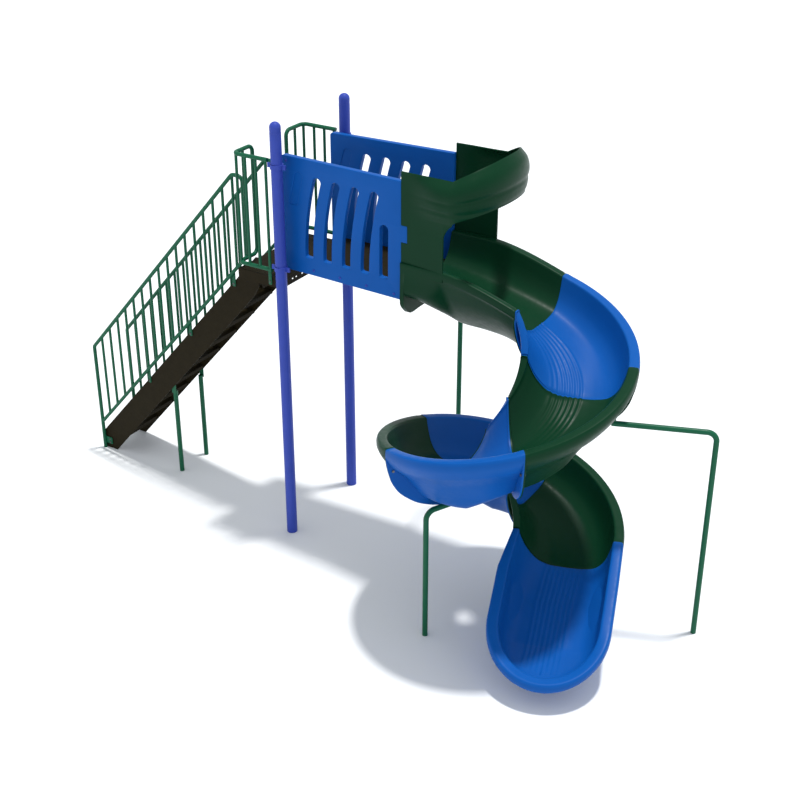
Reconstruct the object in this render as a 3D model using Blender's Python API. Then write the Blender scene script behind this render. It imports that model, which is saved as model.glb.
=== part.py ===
"""Free-standing playground spiral slide: stair, landing, deck tower, side panels and a spiral chute on poles.

Layout frame while building: near post axis at x = y = 0, ground at z = 0, +X from the stair to the slide and
+Y from the near post to the far post. The whole part is moved at the end so that its origin is the centre of
its footprint on the ground.
"""
import math

import bmesh
import bpy
from mathutils import Vector

GAP = 0.0003
WELD = 0.00001

# Tower
BAY = 0.9144
MID_Y = BAY / 2
POST_R = 0.04445
POST_TOP = 3.541
CAP_SKIRT = 0.040
DECK_Z = 2.437
DECK_BOTTOM = 2.3681
DECK_X0 = 0.006
DECK_X1 = 1.0610
LANDING_Z = 2.330
LANDING_BOTTOM = 2.2435
LANDING_X0 = -0.424
LANDING_X1 = -0.002
SHEET = 0.004

# Side panels: 50 mm thick sheets that splay outwards by 0.0496 m for each metre of x
PANEL_X0 = -0.0365
PANEL_X1 = 1.0610
PANEL_Z0 = 2.377
PANEL_Z1 = 3.300
PANEL_T = 0.046
PANEL_Y0 = 0.108
SPLAY = 0.0496
TAB_X = 1.114
TAB_Z0 = 2.836
TAB_Z1 = 2.967
SLOT_FIRST_X = 0.2035
SLOT_PITCH = 0.176
SLOT_COUNT = 4
SLOT_LEAN = 0.100
SLOT_HALF = 0.038
SLOT_Z0 = 2.515
SLOT_Z1 = 3.172
SHORT_SLOT_X = 0.904
SHORT_SLOT_Z1 = 2.935

# Guards and stair
RAIL_R = 0.0165
PICKET_R = 0.0120
GUARD_TOP = 3.276
GUARD_LOW = 2.388
GUARD_CORNER_X = -0.409
GUARD_END_X = -0.086
GUARD_RETURN = 0.235
GUARD_PICKETS = (-0.300, -0.200, -0.105)
STAIR_Y0 = 0.254
PLATE_T = 0.006
RAIL_Y0 = 0.237
RAIL_FOOT_X = -2.353
RAIL_BEND_Z = 1.057
RAIL_TOP_X = -0.628
RAIL_TOP_Z = 2.999
RAIL_END_X = -0.525
LOW_RAIL_Z0 = 0.275
LOW_RAIL_SLOPE = 1.120
PICKET_PITCH = 0.1078
PICKET_COUNT = 16
FEET_X = (-1.717, -1.190, -0.677)
RISER = 0.233
GOING = 0.2067
TREAD_DEPTH = 0.240
TREAD_COUNT = 9
LEG_X = -1.453
LEG_R = 0.021

# Spiral
AXIS_X = 2.0216
AXIS_Y = -0.0597
TURN = math.radians(72.0)
SECTIONS = 6
RIM_Z = 2.509
PITCH = 0.2319
STEP = math.radians(8.0)
FLANGE_T = 0.010
MID_R = 0.516
BED = ((0.152, -0.030), (0.205, -0.141), (0.283, -0.231), (0.370, -0.274), (0.450, -0.282), (0.530, -0.283),
       (0.640, -0.278), (0.730, -0.256), (0.790, -0.200), (0.825, -0.125), (0.850, -0.030))
OUTER_LIP = ((0.858, 0.004), (0.872, 0.010), (0.918, 0.010), (0.932, 0.000), (0.935, -0.050))
HULL = ((0.896, -0.131), (0.848, -0.181), (0.777, -0.253), (0.724, -0.326), (0.660, -0.416), (0.605, -0.468),
        (0.530, -0.500), (0.460, -0.500), (0.380, -0.440), (0.280, -0.340), (0.200, -0.230), (0.150, -0.140),
        (0.118, -0.075))
INNER_LIP = ((0.100, -0.045), (0.097, 0.000), (0.105, 0.010), (0.138, 0.010), (0.147, 0.003))
FLANGE = ((0.925, -0.131), (0.908, -0.205), (0.880, -0.290), (0.822, -0.379), (0.714, -0.468), (0.630, -0.510),
          (0.530, -0.540), (0.460, -0.540), (0.360, -0.495), (0.260, -0.410), (0.180, -0.300), (0.120, -0.180),
          (0.092, -0.080))
BED_DEPTH = -0.283
KEEL = 6
KEEL_DROP = 0.065
KEEL_SHARES = {5: 0.6, 6: 1.0, 7: 0.9, 8: 0.5}
FIRST_DEPTH = 0.90
BOLT_R = 0.006
BOLT_HEAD_R = 0.011
BOLT_GRIP = 0.0114
BOLT_HEAD_T = 0.007
BOLT_NUT_T = 0.010
BOLT_POINT = (0.880, -0.175)

# Entry chute and hood
CHUTE_X0 = 1.0618
CHUTE_FLANGE_X = 1.0950
BOX_X1 = 1.400
HOOD_T = 0.014
HOOD_FOOT = ((1.0618, 2.600), (1.150, 2.600), (1.230, 2.600), (1.310, 2.600), (1.370, 2.600), (1.421, 2.600),
             (1.422, 2.945), (1.437, 2.985), (1.460, 3.018), (1.490, 3.045))
BOW_DEPTH = 0.250
BOW_LIFT = 0.125
HOOD_TOP = 3.370
HOOD_RISE = 0.128
FOLD_Z = 3.050
ROLL_X0 = 1.120
ROLL_RUN = 0.300
ROLL = ((0.0, 0.0), (0.10, 0.014), (0.22, 0.032), (0.36, 0.043), (0.52, 0.051), (0.70, 0.054), (0.86, 0.036),
        (1.0, -0.008))
CHUTE_RIM = ((1.0618, 2.672), (1.420, 2.664), (1.550, 2.646), (1.700, 2.612), (1.860, 2.564), (2.0216, 2.509))
HOOD_STATIONS = ((1.0618, 2.250), (1.0950, 2.250), (1.0960, 2.372), (1.160, 2.335), (1.240, 2.260),
                 (1.330, 2.170), (1.400, 2.135), (1.600, 2.130), (1.800, 2.110), (1.950, 2.050), (2.0116, 2.009))
BOX = ((0.935, 0.30), (0.935, 0.52), (0.935, 0.735), (0.902, 0.87), (0.832, 1.0), (0.700, 1.0), (0.530, 1.0),
       (0.460, 1.0), (0.330, 1.0), (0.200, 1.0), (0.130, 0.87), (0.097, 0.735), (0.098, 0.40))

# Exit
EXIT_STRAIGHT = 0.660
EXIT_NOSE = 0.490
EXIT_HALF = 0.452
EXIT_EASE = 0.300
EXIT_SKIN = 0.030
EXIT_SHIFT = -0.027
EXIT_RIM = ((0.0, 0.0), (0.20, -0.092), (0.42, -0.205), (0.66, -0.318), (1.15, -0.520))
EXIT_BED = ((0.0, -0.283), (0.20, -0.388), (0.42, -0.480), (0.66, -0.548), (1.15, -0.585))
EXIT_TOP = ((0.0, 1.0), (0.20, 1.0), (0.42, 0.985), (0.60, 0.90), (0.74, 0.62), (0.80, 0.10))
EXIT_LIP = ((0.815, 0.004), (0.850, 0.010), (0.960, 0.010), (0.993, 0.0), (1.0, -0.050))
EXIT_UNDER = (0.93, 0.82, 0.66, 0.50, 0.34, 0.18, 0.0)

# Poles
POLE_R = 0.021
POLE_A = (0.978, 1.120)
POLE_A_Z = 2.210
POLE_A_END = (1.128, 0.600)
POLE_B = (3.442, 0.469)
POLE_B_Z = 1.750
POLE_B_END_R = 0.770
POLE_C = (1.711, -0.642)
POLE_C_Z = 1.108
POLE_C_END = (1.800, -0.450)
BEND_R = 0.070
BRACKET_T = 0.005

BLUE = (0.010, 0.100, 0.420, 1.0)
GREEN = (0.010, 0.075, 0.035, 1.0)
POST_BLUE = (0.040, 0.070, 0.500, 1.0)
RAIL_GREEN = (0.012, 0.130, 0.060, 1.0)
BROWN = (0.028, 0.018, 0.011, 1.0)
ZINC = (0.550, 0.560, 0.580, 1.0)


def clear_scene():
    for obj in list(bpy.data.objects):
        bpy.data.objects.remove(obj)


def finish(name, mesh, colour, rough, metal, smooth):
    """Names a mesh as one piece and gives it its own material."""
    obj = bpy.data.objects.new(name, mesh)
    mesh.name = name
    bpy.context.collection.objects.link(obj)
    mat = bpy.data.materials.new(name)
    mat.use_nodes = True
    shader = mat.node_tree.nodes["Principled BSDF"]
    shader.inputs["Base Color"].default_value = colour
    shader.inputs["Roughness"].default_value = rough
    shader.inputs["Metallic"].default_value = metal
    mesh.materials.clear()
    mesh.materials.append(mat)
    if smooth:
        mesh.shade_smooth()
        mesh.set_sharp_from_angle(angle=math.radians(35.0))
    return obj


def solid(verts, faces):
    """Welded, outward-facing closed mesh."""
    mesh = bpy.data.meshes.new("solid")
    mesh.from_pydata([tuple(v) for v in verts], [], faces)
    bm = bmesh.new()
    bm.from_mesh(mesh)
    bmesh.ops.remove_doubles(bm, verts=bm.verts, dist=WELD)
    bmesh.ops.recalc_face_normals(bm, faces=bm.faces)
    bm.to_mesh(mesh)
    bm.free()
    return mesh


def merged(meshes):
    """One mesh from several bodies that do not touch."""
    bm = bmesh.new()
    for mesh in meshes:
        bm.from_mesh(mesh)
    out = bpy.data.meshes.new("merged")
    bm.to_mesh(out)
    bm.free()
    return out


def boolean(base, other, operation):
    """Exact boolean of two meshes, returned as a new mesh."""
    first = bpy.data.objects.new("base", base)
    second = bpy.data.objects.new("tool", other)
    for obj in (first, second):
        bpy.context.collection.objects.link(obj)
    mod = first.modifiers.new("cut", "BOOLEAN")
    mod.operation = operation
    mod.solver = "EXACT"
    mod.object = second
    graph = bpy.context.evaluated_depsgraph_get()
    out = bpy.data.meshes.new_from_object(first.evaluated_get(graph))
    bpy.data.objects.remove(first)
    bpy.data.objects.remove(second)
    return out


def union(meshes):
    result = meshes[0]
    for mesh in meshes[1:]:
        result = boolean(result, mesh, "UNION")
    return result


def box(x0, x1, y0, y1, z0, z1):
    verts = [(x, y, z) for x in (x0, x1) for y in (y0, y1) for z in (z0, z1)]
    faces = [(0, 1, 3, 2), (4, 6, 7, 5), (0, 4, 5, 1), (2, 3, 7, 6), (0, 2, 6, 4), (1, 5, 7, 3)]
    return solid(verts, faces)


def prism(outline, y0, y1):
    """Extrudes an (x, z) outline along Y."""
    count = len(outline)
    verts = [(x, y, z) for y in (y0, y1) for x, z in outline]
    faces = [tuple(range(count)), tuple(range(2 * count - 1, count - 1, -1))]
    for i in range(count):
        j = (i + 1) % count
        faces.append((i, j, count + j, count + i))
    return solid(verts, faces)


def slab(outline, z0, z1):
    """Extrudes an (x, y) outline along Z."""
    count = len(outline)
    verts = [(x, y, z) for z in (z0, z1) for x, y in outline]
    faces = [tuple(range(count)), tuple(range(2 * count - 1, count - 1, -1))]
    for i in range(count):
        j = (i + 1) % count
        faces.append((i, j, count + j, count + i))
    return solid(verts, faces)


def rings_to_solid(rings):
    """Closed body from equal closed rings, capped at both ends."""
    count = len(rings[0])
    verts = [v for ring in rings for v in ring]
    faces = [tuple(range(count)), tuple(range(len(verts) - count, len(verts)))]
    for i in range(len(rings) - 1):
        for k in range(count):
            n = (k + 1) % count
            a = i * count
            b = a + count
            faces.append((a + k, a + n, b + n, b + k))
    return solid(verts, faces)


def rounded(points, radius, steps):
    """Polyline with its inner corners replaced by arcs."""
    pts = [Vector(p) for p in points]
    out = [pts[0]]
    for before, corner, after in zip(pts, pts[1:], pts[2:]):
        u = (before - corner).normalized()
        v = (after - corner).normalized()
        half = u.angle(v) / 2
        reach = radius / math.tan(half)
        start = corner + u * reach
        end = corner + v * reach
        centre = corner + (u + v).normalized() * (radius / math.sin(half))
        sweep = math.pi - 2 * half
        for i in range(steps + 1):
            a = sweep * i / steps
            first = math.sin(sweep - a) / math.sin(sweep)
            last = math.sin(a) / math.sin(sweep)
            out.append(centre + (start - centre) * first + (end - centre) * last)
    out.append(pts[-1])
    return out


def tube(path, radius, sides):
    """Round bar along a path."""
    pts = [Vector(p) for p in path]
    rings = []
    normal = None
    for i, point in enumerate(pts):
        ahead = (pts[min(i + 1, len(pts) - 1)] - point)
        behind = (point - pts[max(i - 1, 0)])
        tangent = (ahead.normalized() + behind.normalized()).normalized()
        if normal is None:
            seed = Vector((0.0, 1.0, 0.0)) if abs(tangent.y) < 0.9 else Vector((1.0, 0.0, 0.0))
            normal = seed
        normal = (normal - tangent * normal.dot(tangent)).normalized()
        side = tangent.cross(normal)
        ring = []
        for k in range(sides):
            a = 2 * math.pi * (k + 0.5) / sides
            ring.append(point + radius * (math.cos(a) * normal + math.sin(a) * side))
        rings.append(ring)
    return rings_to_solid(rings)


def cylinder(x, y, z0, z1, radius, sides):
    return tube([(x, y, z0), (x, y, z1)], radius, sides)


def far_side(mesh):
    """Mirror image across the tower's middle plane."""
    copy = mesh.copy()
    for vert in copy.vertices:
        vert.co.y = BAY - vert.co.y
    copy.flip_normals()
    return copy


def both_sides(name, mesh, colour, rough, metal, smooth):
    finish("far_" + name, far_side(mesh), colour, rough, metal, smooth)
    finish("near_" + name, mesh, colour, rough, metal, smooth)


def build_posts():
    post = cylinder(0, 0, 0, POST_TOP - CAP_SKIRT, POST_R, 24)
    both_sides("post", post, POST_BLUE, 0.35, 0.0, True)
    rings = []
    profile = [(POST_R - 0.001, POST_TOP - CAP_SKIRT + GAP), (POST_R, POST_TOP)]
    for i in range(1, 6):
        a = math.radians(16.0 * i)
        profile.append((POST_R * math.cos(a), POST_TOP + (POST_R - 0.001) * math.sin(a)))
    for r, z in profile:
        turns = [2 * math.pi * k / 24 for k in range(24)]
        rings.append([(r * math.cos(a), r * math.sin(a), z) for a in turns])
    both_sides("post_cap", rings_to_solid(rings), POST_BLUE, 0.35, 0.0, True)


def clamp_half(z, sign):
    """Half of a two-part post clamp with an ear at each end; the split runs along X."""
    inner = (POST_R + GAP) / math.cos(math.radians(7.2))
    outer = inner + 0.007
    low = z - 0.018
    high = z + 0.018
    angles = [math.radians(4.0 + 172.0 * i / 12) for i in range(13)]
    arc_out = [(outer * math.cos(a), sign * outer * math.sin(a)) for a in angles]
    arc_in = [(inner * math.cos(a), sign * inner * math.sin(a)) for a in reversed(angles)]
    ear = 0.030
    near = sign * 0.0012
    thick = sign * 0.0072
    right = [(inner + 0.001, near), (outer + ear, near), (outer + ear, thick)]
    left = [(-outer - ear, thick), (-outer - ear, near), (-inner - 0.001, near)]
    return slab(right + arc_out + left + arc_in, low, high)


def build_clamps():
    for tag, z in (("upper", 3.242), ("lower", 2.420)):
        both_sides(tag + "_clamp_outer", clamp_half(z, -1), POST_BLUE, 0.35, 0.0, True)
        both_sides(tag + "_clamp_inner", clamp_half(z, 1), POST_BLUE, 0.35, 0.0, True)


def panel_inner(x):
    return PANEL_Y0 + PANEL_T - SPLAY * x


def build_deck():
    """Pressed tray: a top sheet with a flange turned down along all four sides."""
    def corners(inset, x0, x1):
        near0 = panel_inner(x0) + GAP + inset
        near1 = panel_inner(x1) + GAP + inset
        return [(x0, near0), (x1, near1), (x1, BAY - near1), (x0, BAY - near0)]

    outer = slab(corners(0.0, DECK_X0, DECK_X1), DECK_BOTTOM, DECK_Z)
    hollow = slab(corners(SHEET, DECK_X0 + SHEET, DECK_X1 - SHEET), DECK_BOTTOM - 0.01, DECK_Z - SHEET)
    finish("deck", boolean(outer, hollow, "DIFFERENCE"), BROWN, 0.75, 0.0, False)


def build_landing():
    outer = box(LANDING_X0, LANDING_X1, 0.0, BAY, LANDING_BOTTOM, LANDING_Z)
    inset = POST_R + 0.006
    tall = box(LANDING_X1 - 0.02, LANDING_X1, inset, BAY - inset, LANDING_Z - 0.02, DECK_BOTTOM - GAP)
    block = boolean(outer, tall, "UNION")
    hollow = box(LANDING_X0 + SHEET, LANDING_X1 - SHEET, SHEET, BAY - SHEET, LANDING_BOTTOM - 0.01,
                 LANDING_Z - SHEET)
    block = boolean(block, hollow, "DIFFERENCE")
    behind = box(LANDING_X1 - 0.03, LANDING_X1 - SHEET, 0.01, BAY - 0.01, LANDING_Z + GAP, DECK_BOTTOM + 0.01)
    block = boolean(block, behind, "DIFFERENCE")
    notch = POST_R + 0.009
    for y0, y1 in ((-0.01, notch), (BAY - notch, BAY + 0.01)):
        block = boolean(block, box(-notch, 0.01, y0, y1, LANDING_BOTTOM - 0.01, DECK_Z), "DIFFERENCE")
    holes = []
    for y in (0.15, 0.20, 0.28, BAY - 0.28, BAY - 0.20, BAY - 0.15):
        holes.append(box(LANDING_X1 - 0.02, LANDING_X1 + 0.02, y - 0.011, y + 0.011, 2.275, 2.287))
    block = boolean(block, merged(holes), "DIFFERENCE")
    finish("landing", block, BROWN, 0.75, 0.0, False)


def lower_edge_z(x):
    return 1.1365 * (x + 2.220)


def build_stringers():
    outline = [(-2.348, 0.0), (-2.220, 0.0), (-0.486, 1.971), (-0.437, 2.058), (-0.4245, 2.085),
               (-0.4245, 2.330),
               (-0.447, 2.330), (-2.348, 0.187)]
    near = prism(outline, STAIR_Y0, STAIR_Y0 + PLATE_T)
    both_sides("stringer", near, BROWN, 0.7, 0.0, False)


def build_treads():
    """Pressed channel treads: a flat top with turned-down front and back lips."""
    for k in range(1, TREAD_COUNT + 1):
        top = RISER * k
        front = LANDING_X0 - GOING * (TREAD_COUNT + 1 - k)
        back = front + TREAD_DEPTH
        outline = [(front, top), (back, top), (back, top - 0.032), (back - SHEET, top - 0.032),
                   (back - SHEET, top - SHEET), (front + SHEET, top - SHEET), (front + SHEET, top - 0.045),
                   (front, top - 0.045)]
        mesh = prism(outline, STAIR_Y0 + PLATE_T + GAP, BAY - STAIR_Y0 - PLATE_T - GAP)
        finish("tread_%d" % k, mesh, BROWN, 0.75, 0.0, False)


def rail_top_z(x):
    slope = (RAIL_TOP_Z - RAIL_BEND_Z) / (RAIL_TOP_X - RAIL_FOOT_X)
    return min(RAIL_BEND_Z + slope * (x - RAIL_FOOT_X), RAIL_TOP_Z)


def low_rail_z(x):
    return LOW_RAIL_Z0 + LOW_RAIL_SLOPE * (x - RAIL_FOOT_X)


def build_handrails():
    y = RAIL_Y0
    corners = [(RAIL_FOOT_X, y, 0.0), (RAIL_FOOT_X, y, RAIL_BEND_Z), (RAIL_TOP_X, y, RAIL_TOP_Z),
               (RAIL_END_X, y, RAIL_TOP_Z), (RAIL_END_X, y, low_rail_z(RAIL_END_X) - 0.01)]
    frame = tube(rounded(corners, 0.045, 4), RAIL_R, 10)
    low = tube([(RAIL_FOOT_X, y, LOW_RAIL_Z0), (RAIL_END_X, y, low_rail_z(RAIL_END_X))], RAIL_R * 0.93, 10)
    pickets = []
    for i in range(1, PICKET_COUNT + 1):
        x = RAIL_FOOT_X + PICKET_PITCH * i
        pickets.append(cylinder(x, y, low_rail_z(x), rail_top_z(x) - 0.004, PICKET_R, 8))
    feet = []
    for x in FEET_X:
        edge = 0.187 + 1.1275 * (x + 2.348)
        feet.append(box(x - 0.015, x + 0.015, y + 0.006, STAIR_Y0 - GAP, edge - 0.045, low_rail_z(x)))
    feet.append(box(RAIL_FOOT_X, -2.268, y + 0.006, STAIR_Y0 - GAP, 0.045, 0.115))
    both_sides("handrail", union([frame, low, merged(pickets), merged(feet)]), RAIL_GREEN, 0.4, 0.0, True)


def build_guards():
    y1 = GUARD_RETURN
    corners = [(GUARD_END_X, 0, GUARD_TOP), (GUARD_CORNER_X, 0, GUARD_TOP), (GUARD_CORNER_X, y1, GUARD_TOP),
               (GUARD_CORNER_X, y1, GUARD_LOW), (GUARD_CORNER_X, 0, GUARD_LOW), (GUARD_END_X, 0, GUARD_LOW)]
    frame = tube(rounded(corners, 0.050, 4), RAIL_R, 10)
    pickets = [cylinder(x, 0, GUARD_LOW, GUARD_TOP, PICKET_R, 8) for x in GUARD_PICKETS]
    pickets.append(cylinder(GUARD_CORNER_X + 0.014, 0.014, GUARD_LOW, GUARD_TOP, PICKET_R, 8))
    pickets.append(cylinder(GUARD_CORNER_X, 0.115, GUARD_LOW, GUARD_TOP, PICKET_R, 8))
    foot = box(GUARD_PICKETS[-1] - 0.015, GUARD_PICKETS[-1] + 0.015, -0.009, -GAP, 2.262, GUARD_LOW)
    both_sides("guard", union([frame, merged(pickets), foot]), RAIL_GREEN, 0.4, 0.0, True)


def build_legs():
    """Stair legs: a round leg with a flat plate welded on top, bolted to the stringer's face."""
    inner = STAIR_Y0 + PLATE_T + GAP
    y = inner + LEG_R
    top = lower_edge_z(LEG_X) - 0.040
    leg = cylinder(LEG_X, y, 0.0, top, LEG_R, 14)
    plate = box(LEG_X - 0.022, LEG_X + 0.022, inner, inner + 0.008, top - 0.02, top + 0.085)
    both_sides("stair_leg", boolean(leg, plate, "UNION"), RAIL_GREEN, 0.4, 0.0, True)


def slot_outline(x, lean, z0, z1):
    """Upright slot whose centre line bends towards +X near the top."""
    steps = 7
    left = []
    right = []
    span = SLOT_Z1 - SLOT_Z0
    for i in range(steps + 1):
        z = z0 + (z1 - SLOT_HALF - z0) * i / steps
        centre = x + lean * ((z - SLOT_Z0) / span) ** 2
        left.append((centre - SLOT_HALF, z))
        right.append((centre + SLOT_HALF, z))
    z = z1 - SLOT_HALF
    centre = x + lean * ((z - SLOT_Z0) / span) ** 2
    crown = []
    for i in range(1, 6):
        a = math.pi * (1 - i / 6)
        crown.append((centre + SLOT_HALF * math.cos(a), z + SLOT_HALF * math.sin(a)))
    return left + crown + right[::-1]


def build_panels():
    outline = [(PANEL_X0, PANEL_Z0), (PANEL_X1, PANEL_Z0), (PANEL_X1, TAB_Z0), (TAB_X, TAB_Z0), (TAB_X, TAB_Z1),
               (PANEL_X1, TAB_Z1), (PANEL_X1, PANEL_Z1), (PANEL_X0 + 0.02, PANEL_Z1),
               (PANEL_X0, PANEL_Z1 - 0.02)]
    sheet = prism(outline, PANEL_Y0, PANEL_Y0 + PANEL_T)
    slots = []
    for i in range(SLOT_COUNT):
        line = slot_outline(SLOT_FIRST_X + SLOT_PITCH * i, SLOT_LEAN, SLOT_Z0, SLOT_Z1)
        slots.append(prism(line, PANEL_Y0 - 0.02, PANEL_Y0 + PANEL_T + 0.02))
    short = slot_outline(SHORT_SLOT_X, 0.012, SLOT_Z0, SHORT_SLOT_Z1)
    slots.append(prism(short, PANEL_Y0 - 0.02, PANEL_Y0 + PANEL_T + 0.02))
    sheet = boolean(sheet, merged(slots), "DIFFERENCE")
    for vert in sheet.vertices:
        vert.co.y -= SPLAY * vert.co.x
    both_sides("panel", sheet, BLUE, 0.35, 0.0, False)


def depth_scale(theta):
    return FIRST_DEPTH + (1.0 - FIRST_DEPTH) * min(1.0, theta / TURN)


def section_profile(theta, outer):
    """Closed (radius, height) loop of one spiral cross-section; outer is the underside line."""
    scale = depth_scale(theta)
    bed = [(r, dz * scale) for r, dz in BED]
    return bed + list(OUTER_LIP) + list(outer) + list(INNER_LIP)


def spiral_point(theta, r, dz, shift):
    e = Vector((math.sin(theta), math.cos(theta), 0.0))
    heading = Vector((math.cos(theta), -math.sin(theta), 0.0))
    return Vector((AXIS_X, AXIS_Y, RIM_Z - PITCH * theta + dz)) + e * r + heading * shift


def spiral_ring(theta, outer, shift):
    return [spiral_point(theta, r, dz, shift) for r, dz in section_profile(theta, outer)]


def tent(hull, t):
    """Underside line with its keel drawn down, most at the middle of a section."""
    drop = KEEL_DROP * (1.0 - abs(2.0 * t - 1.0))
    return [(r, dz - drop * KEEL_SHARES.get(i, 0.0)) for i, (r, dz) in enumerate(hull)]


def spiral_section(index):
    start = TURN * index
    steps = round(TURN / STEP)
    rings = [spiral_ring(start, FLANGE, GAP / 2), spiral_ring(start, FLANGE, FLANGE_T),
             spiral_ring(start, HULL, FLANGE_T + 0.001)]
    for i in range(1, steps):
        rings.append(spiral_ring(start + STEP * i, tent(HULL, i / steps), 0.0))
    end = start + TURN
    rings += [spiral_ring(end, HULL, -FLANGE_T - 0.001), spiral_ring(end, FLANGE, -FLANGE_T),
              spiral_ring(end, FLANGE, -GAP / 2)]
    return rings_to_solid(rings)


def bolt_axis(theta):
    """Bolt line through both flanges of a joint, along the slide's heading."""
    e = Vector((math.sin(theta), math.cos(theta), 0.0))
    heading = Vector((math.cos(theta), -math.sin(theta), 0.0))
    centre = Vector((AXIS_X, AXIS_Y, RIM_Z - PITCH * theta + BOLT_POINT[1])) + e * BOLT_POINT[0]
    return centre, heading


def bored(mesh, thetas):
    """Cuts the bolt hole of each given joint."""
    for theta in thetas:
        centre, heading = bolt_axis(theta)
        tool = tube([centre - heading * 0.03, centre + heading * 0.03], BOLT_R + GAP, 12)
        mesh = boolean(mesh, tool, "DIFFERENCE")
    return mesh


def hexagon(a):
    """Radius of a hexagon of unit corner radius at angle a."""
    return math.cos(math.radians(30.0)) / math.cos(a % math.radians(60.0) - math.radians(30.0))


def joint_bolt(theta):
    """Hexagon bolt and nut that clamp the two flanges of a joint together."""
    centre, heading = bolt_axis(theta)
    side = heading.cross(Vector((0.0, 0.0, 1.0)))
    up = side.cross(heading)
    stops = ((-BOLT_GRIP - BOLT_HEAD_T, True), (-BOLT_GRIP, True), (-BOLT_GRIP, False), (BOLT_GRIP, False),
             (BOLT_GRIP, True), (BOLT_GRIP + BOLT_NUT_T, True))
    rings = []
    for shift, wide in stops:
        ring = []
        for k in range(12):
            a = 2 * math.pi * k / 12
            r = BOLT_HEAD_R * hexagon(a) if wide else BOLT_R
            ring.append(centre + heading * shift + (side * math.cos(a) + up * math.sin(a)) * r)
        rings.append(ring)
    return rings_to_solid(rings)


def build_spiral():
    for i in range(SECTIONS):
        colour = GREEN if i % 2 else BLUE
        mesh = bored(spiral_section(i), (TURN * i, TURN * (i + 1)))
        finish("slide_section_%d" % (i + 1), mesh, colour, 0.3, 0.0, True)
    for i in range(SECTIONS + 1):
        finish("joint_bolt_%d" % i, joint_bolt(TURN * i), ZINC, 0.35, 1.0, False)


def along(table, s):
    """Straight-line value of a (distance, value) table."""
    for (s0, v0), (s1, v1) in zip(table, table[1:]):
        if s <= s1:
            return v0 + (v1 - v0) * (s - s0) / (s1 - s0)
    return table[-1][1]


def chute_bed(x):
    """Height of the bed: level with the deck at the tower, then easing down to the first joint."""
    t = (x - CHUTE_X0) / (AXIS_X - CHUTE_X0)
    end = RIM_Z + BED_DEPTH * FIRST_DEPTH
    return DECK_Z + (end - DECK_Z) * (0.25 * t + 0.75 * t * t)


def chute_ring(x, keel, outer):
    """Cross-section of the entry chute, whose underside eases from a box to the spiral's shape."""
    rim = along(CHUTE_RIM, x)
    scale = (chute_bed(x) - rim) / BED_DEPTH
    depth = keel - rim
    drop = depth / outer[KEEL][1]
    ease = max(0.0, min(1.0, (x - CHUTE_FLANGE_X) / (BOX_X1 - CHUTE_FLANGE_X)))
    loop = [(r, dz * scale) for r, dz in BED] + list(OUTER_LIP)
    for (r, dz), (box_r, share) in zip(outer, BOX):
        loop.append((box_r + (r - box_r) * ease, share * depth * (1 - ease) + dz * drop * ease))
    loop += list(INNER_LIP)
    return [Vector((x, AXIS_Y + r, rim + dz)) for r, dz in loop]


def hood_plan():
    """Plan line of the hood wall with its foot and top heights: near wall, bowed front, far wall."""
    near = [(x, PANEL_Y0 - SPLAY * x, foot, HOOD_TOP) for x, foot in HOOD_FOOT]
    bow_x, y, bow_foot, top = near[-1]
    half_y = MID_Y - y
    bow = []
    steps = 16
    for i in range(1, steps):
        a = math.pi * i / steps
        lift = math.sin(a)
        foot = bow_foot + BOW_LIFT * lift ** 0.6
        bow.append((bow_x + BOW_DEPTH * lift, MID_Y - half_y * math.cos(a), foot, HOOD_TOP + HOOD_RISE * lift))
    far = [(x, BAY - y, foot, top) for x, y, foot, top in reversed(near)]
    return near + bow + far


def hood_wall():
    """Upright sheet along the plan line, rolled outwards in a band between the fold and its top."""
    line = hood_plan()
    count = len(line)
    rings = []
    for i, (x, y, foot, top) in enumerate(line):
        before = Vector(line[max(i - 1, 0)][:2])
        after = Vector(line[min(i + 1, count - 1)][:2])
        heading = (after - before).normalized()
        out = Vector((heading.y, -heading.x))
        bow = max(0.0, min(1.0, (x - ROLL_X0) / ROLL_RUN))
        start = max(foot + 0.020, FOLD_Z)
        heights = [foot, (foot + start) / 2] + [start + (top - start) * share for share, roll in ROLL]
        outer = []
        inner = []
        for z in heights:
            share = max(0.0, (z - FOLD_Z) / (top - FOLD_Z))
            base = Vector((x, y)) + out * along(ROLL, share) * bow
            outer.append(Vector((base.x, base.y, z)))
            inward = base - out * HOOD_T
            inner.append(Vector((inward.x, inward.y, z)))
        rings.append(outer + inner[::-1])
    return rings_to_solid(rings)


def build_hood():
    rings = []
    for x, keel in HOOD_STATIONS:
        rings.append(chute_ring(x, keel, HULL))
    rings[-1] = chute_ring(AXIS_X - FLANGE_T - 0.001, RIM_Z + HULL[KEEL][1], HULL)
    flange_keel = RIM_Z + FLANGE[KEEL][1]
    rings.append(chute_ring(AXIS_X - FLANGE_T, flange_keel, FLANGE))
    rings.append(chute_ring(AXIS_X - GAP / 2, flange_keel, FLANGE))
    mesh = boolean(rings_to_solid(rings), hood_wall(), "UNION")
    for y0, y1 in ((-0.2, MID_Y - 0.3), (MID_Y + 0.3, BAY + 0.2)):
        pocket = box(CHUTE_X0 - 0.02, TAB_X + GAP, y0, y1, TAB_Z0 - GAP, TAB_Z1 + GAP)
        mesh = boolean(mesh, pocket, "DIFFERENCE")
    finish("slide_hood", bored(mesh, (0.0,)), GREEN, 0.35, 0.0, True)


def exit_frame():
    theta = TURN * SECTIONS
    e = Vector((math.sin(theta), math.cos(theta), 0.0))
    heading = Vector((math.cos(theta), -math.sin(theta), 0.0))
    centre = Vector((AXIS_X, AXIS_Y, 0.0)) + e * MID_R
    return centre, e, heading, RIM_Z - PITCH * theta


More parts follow.
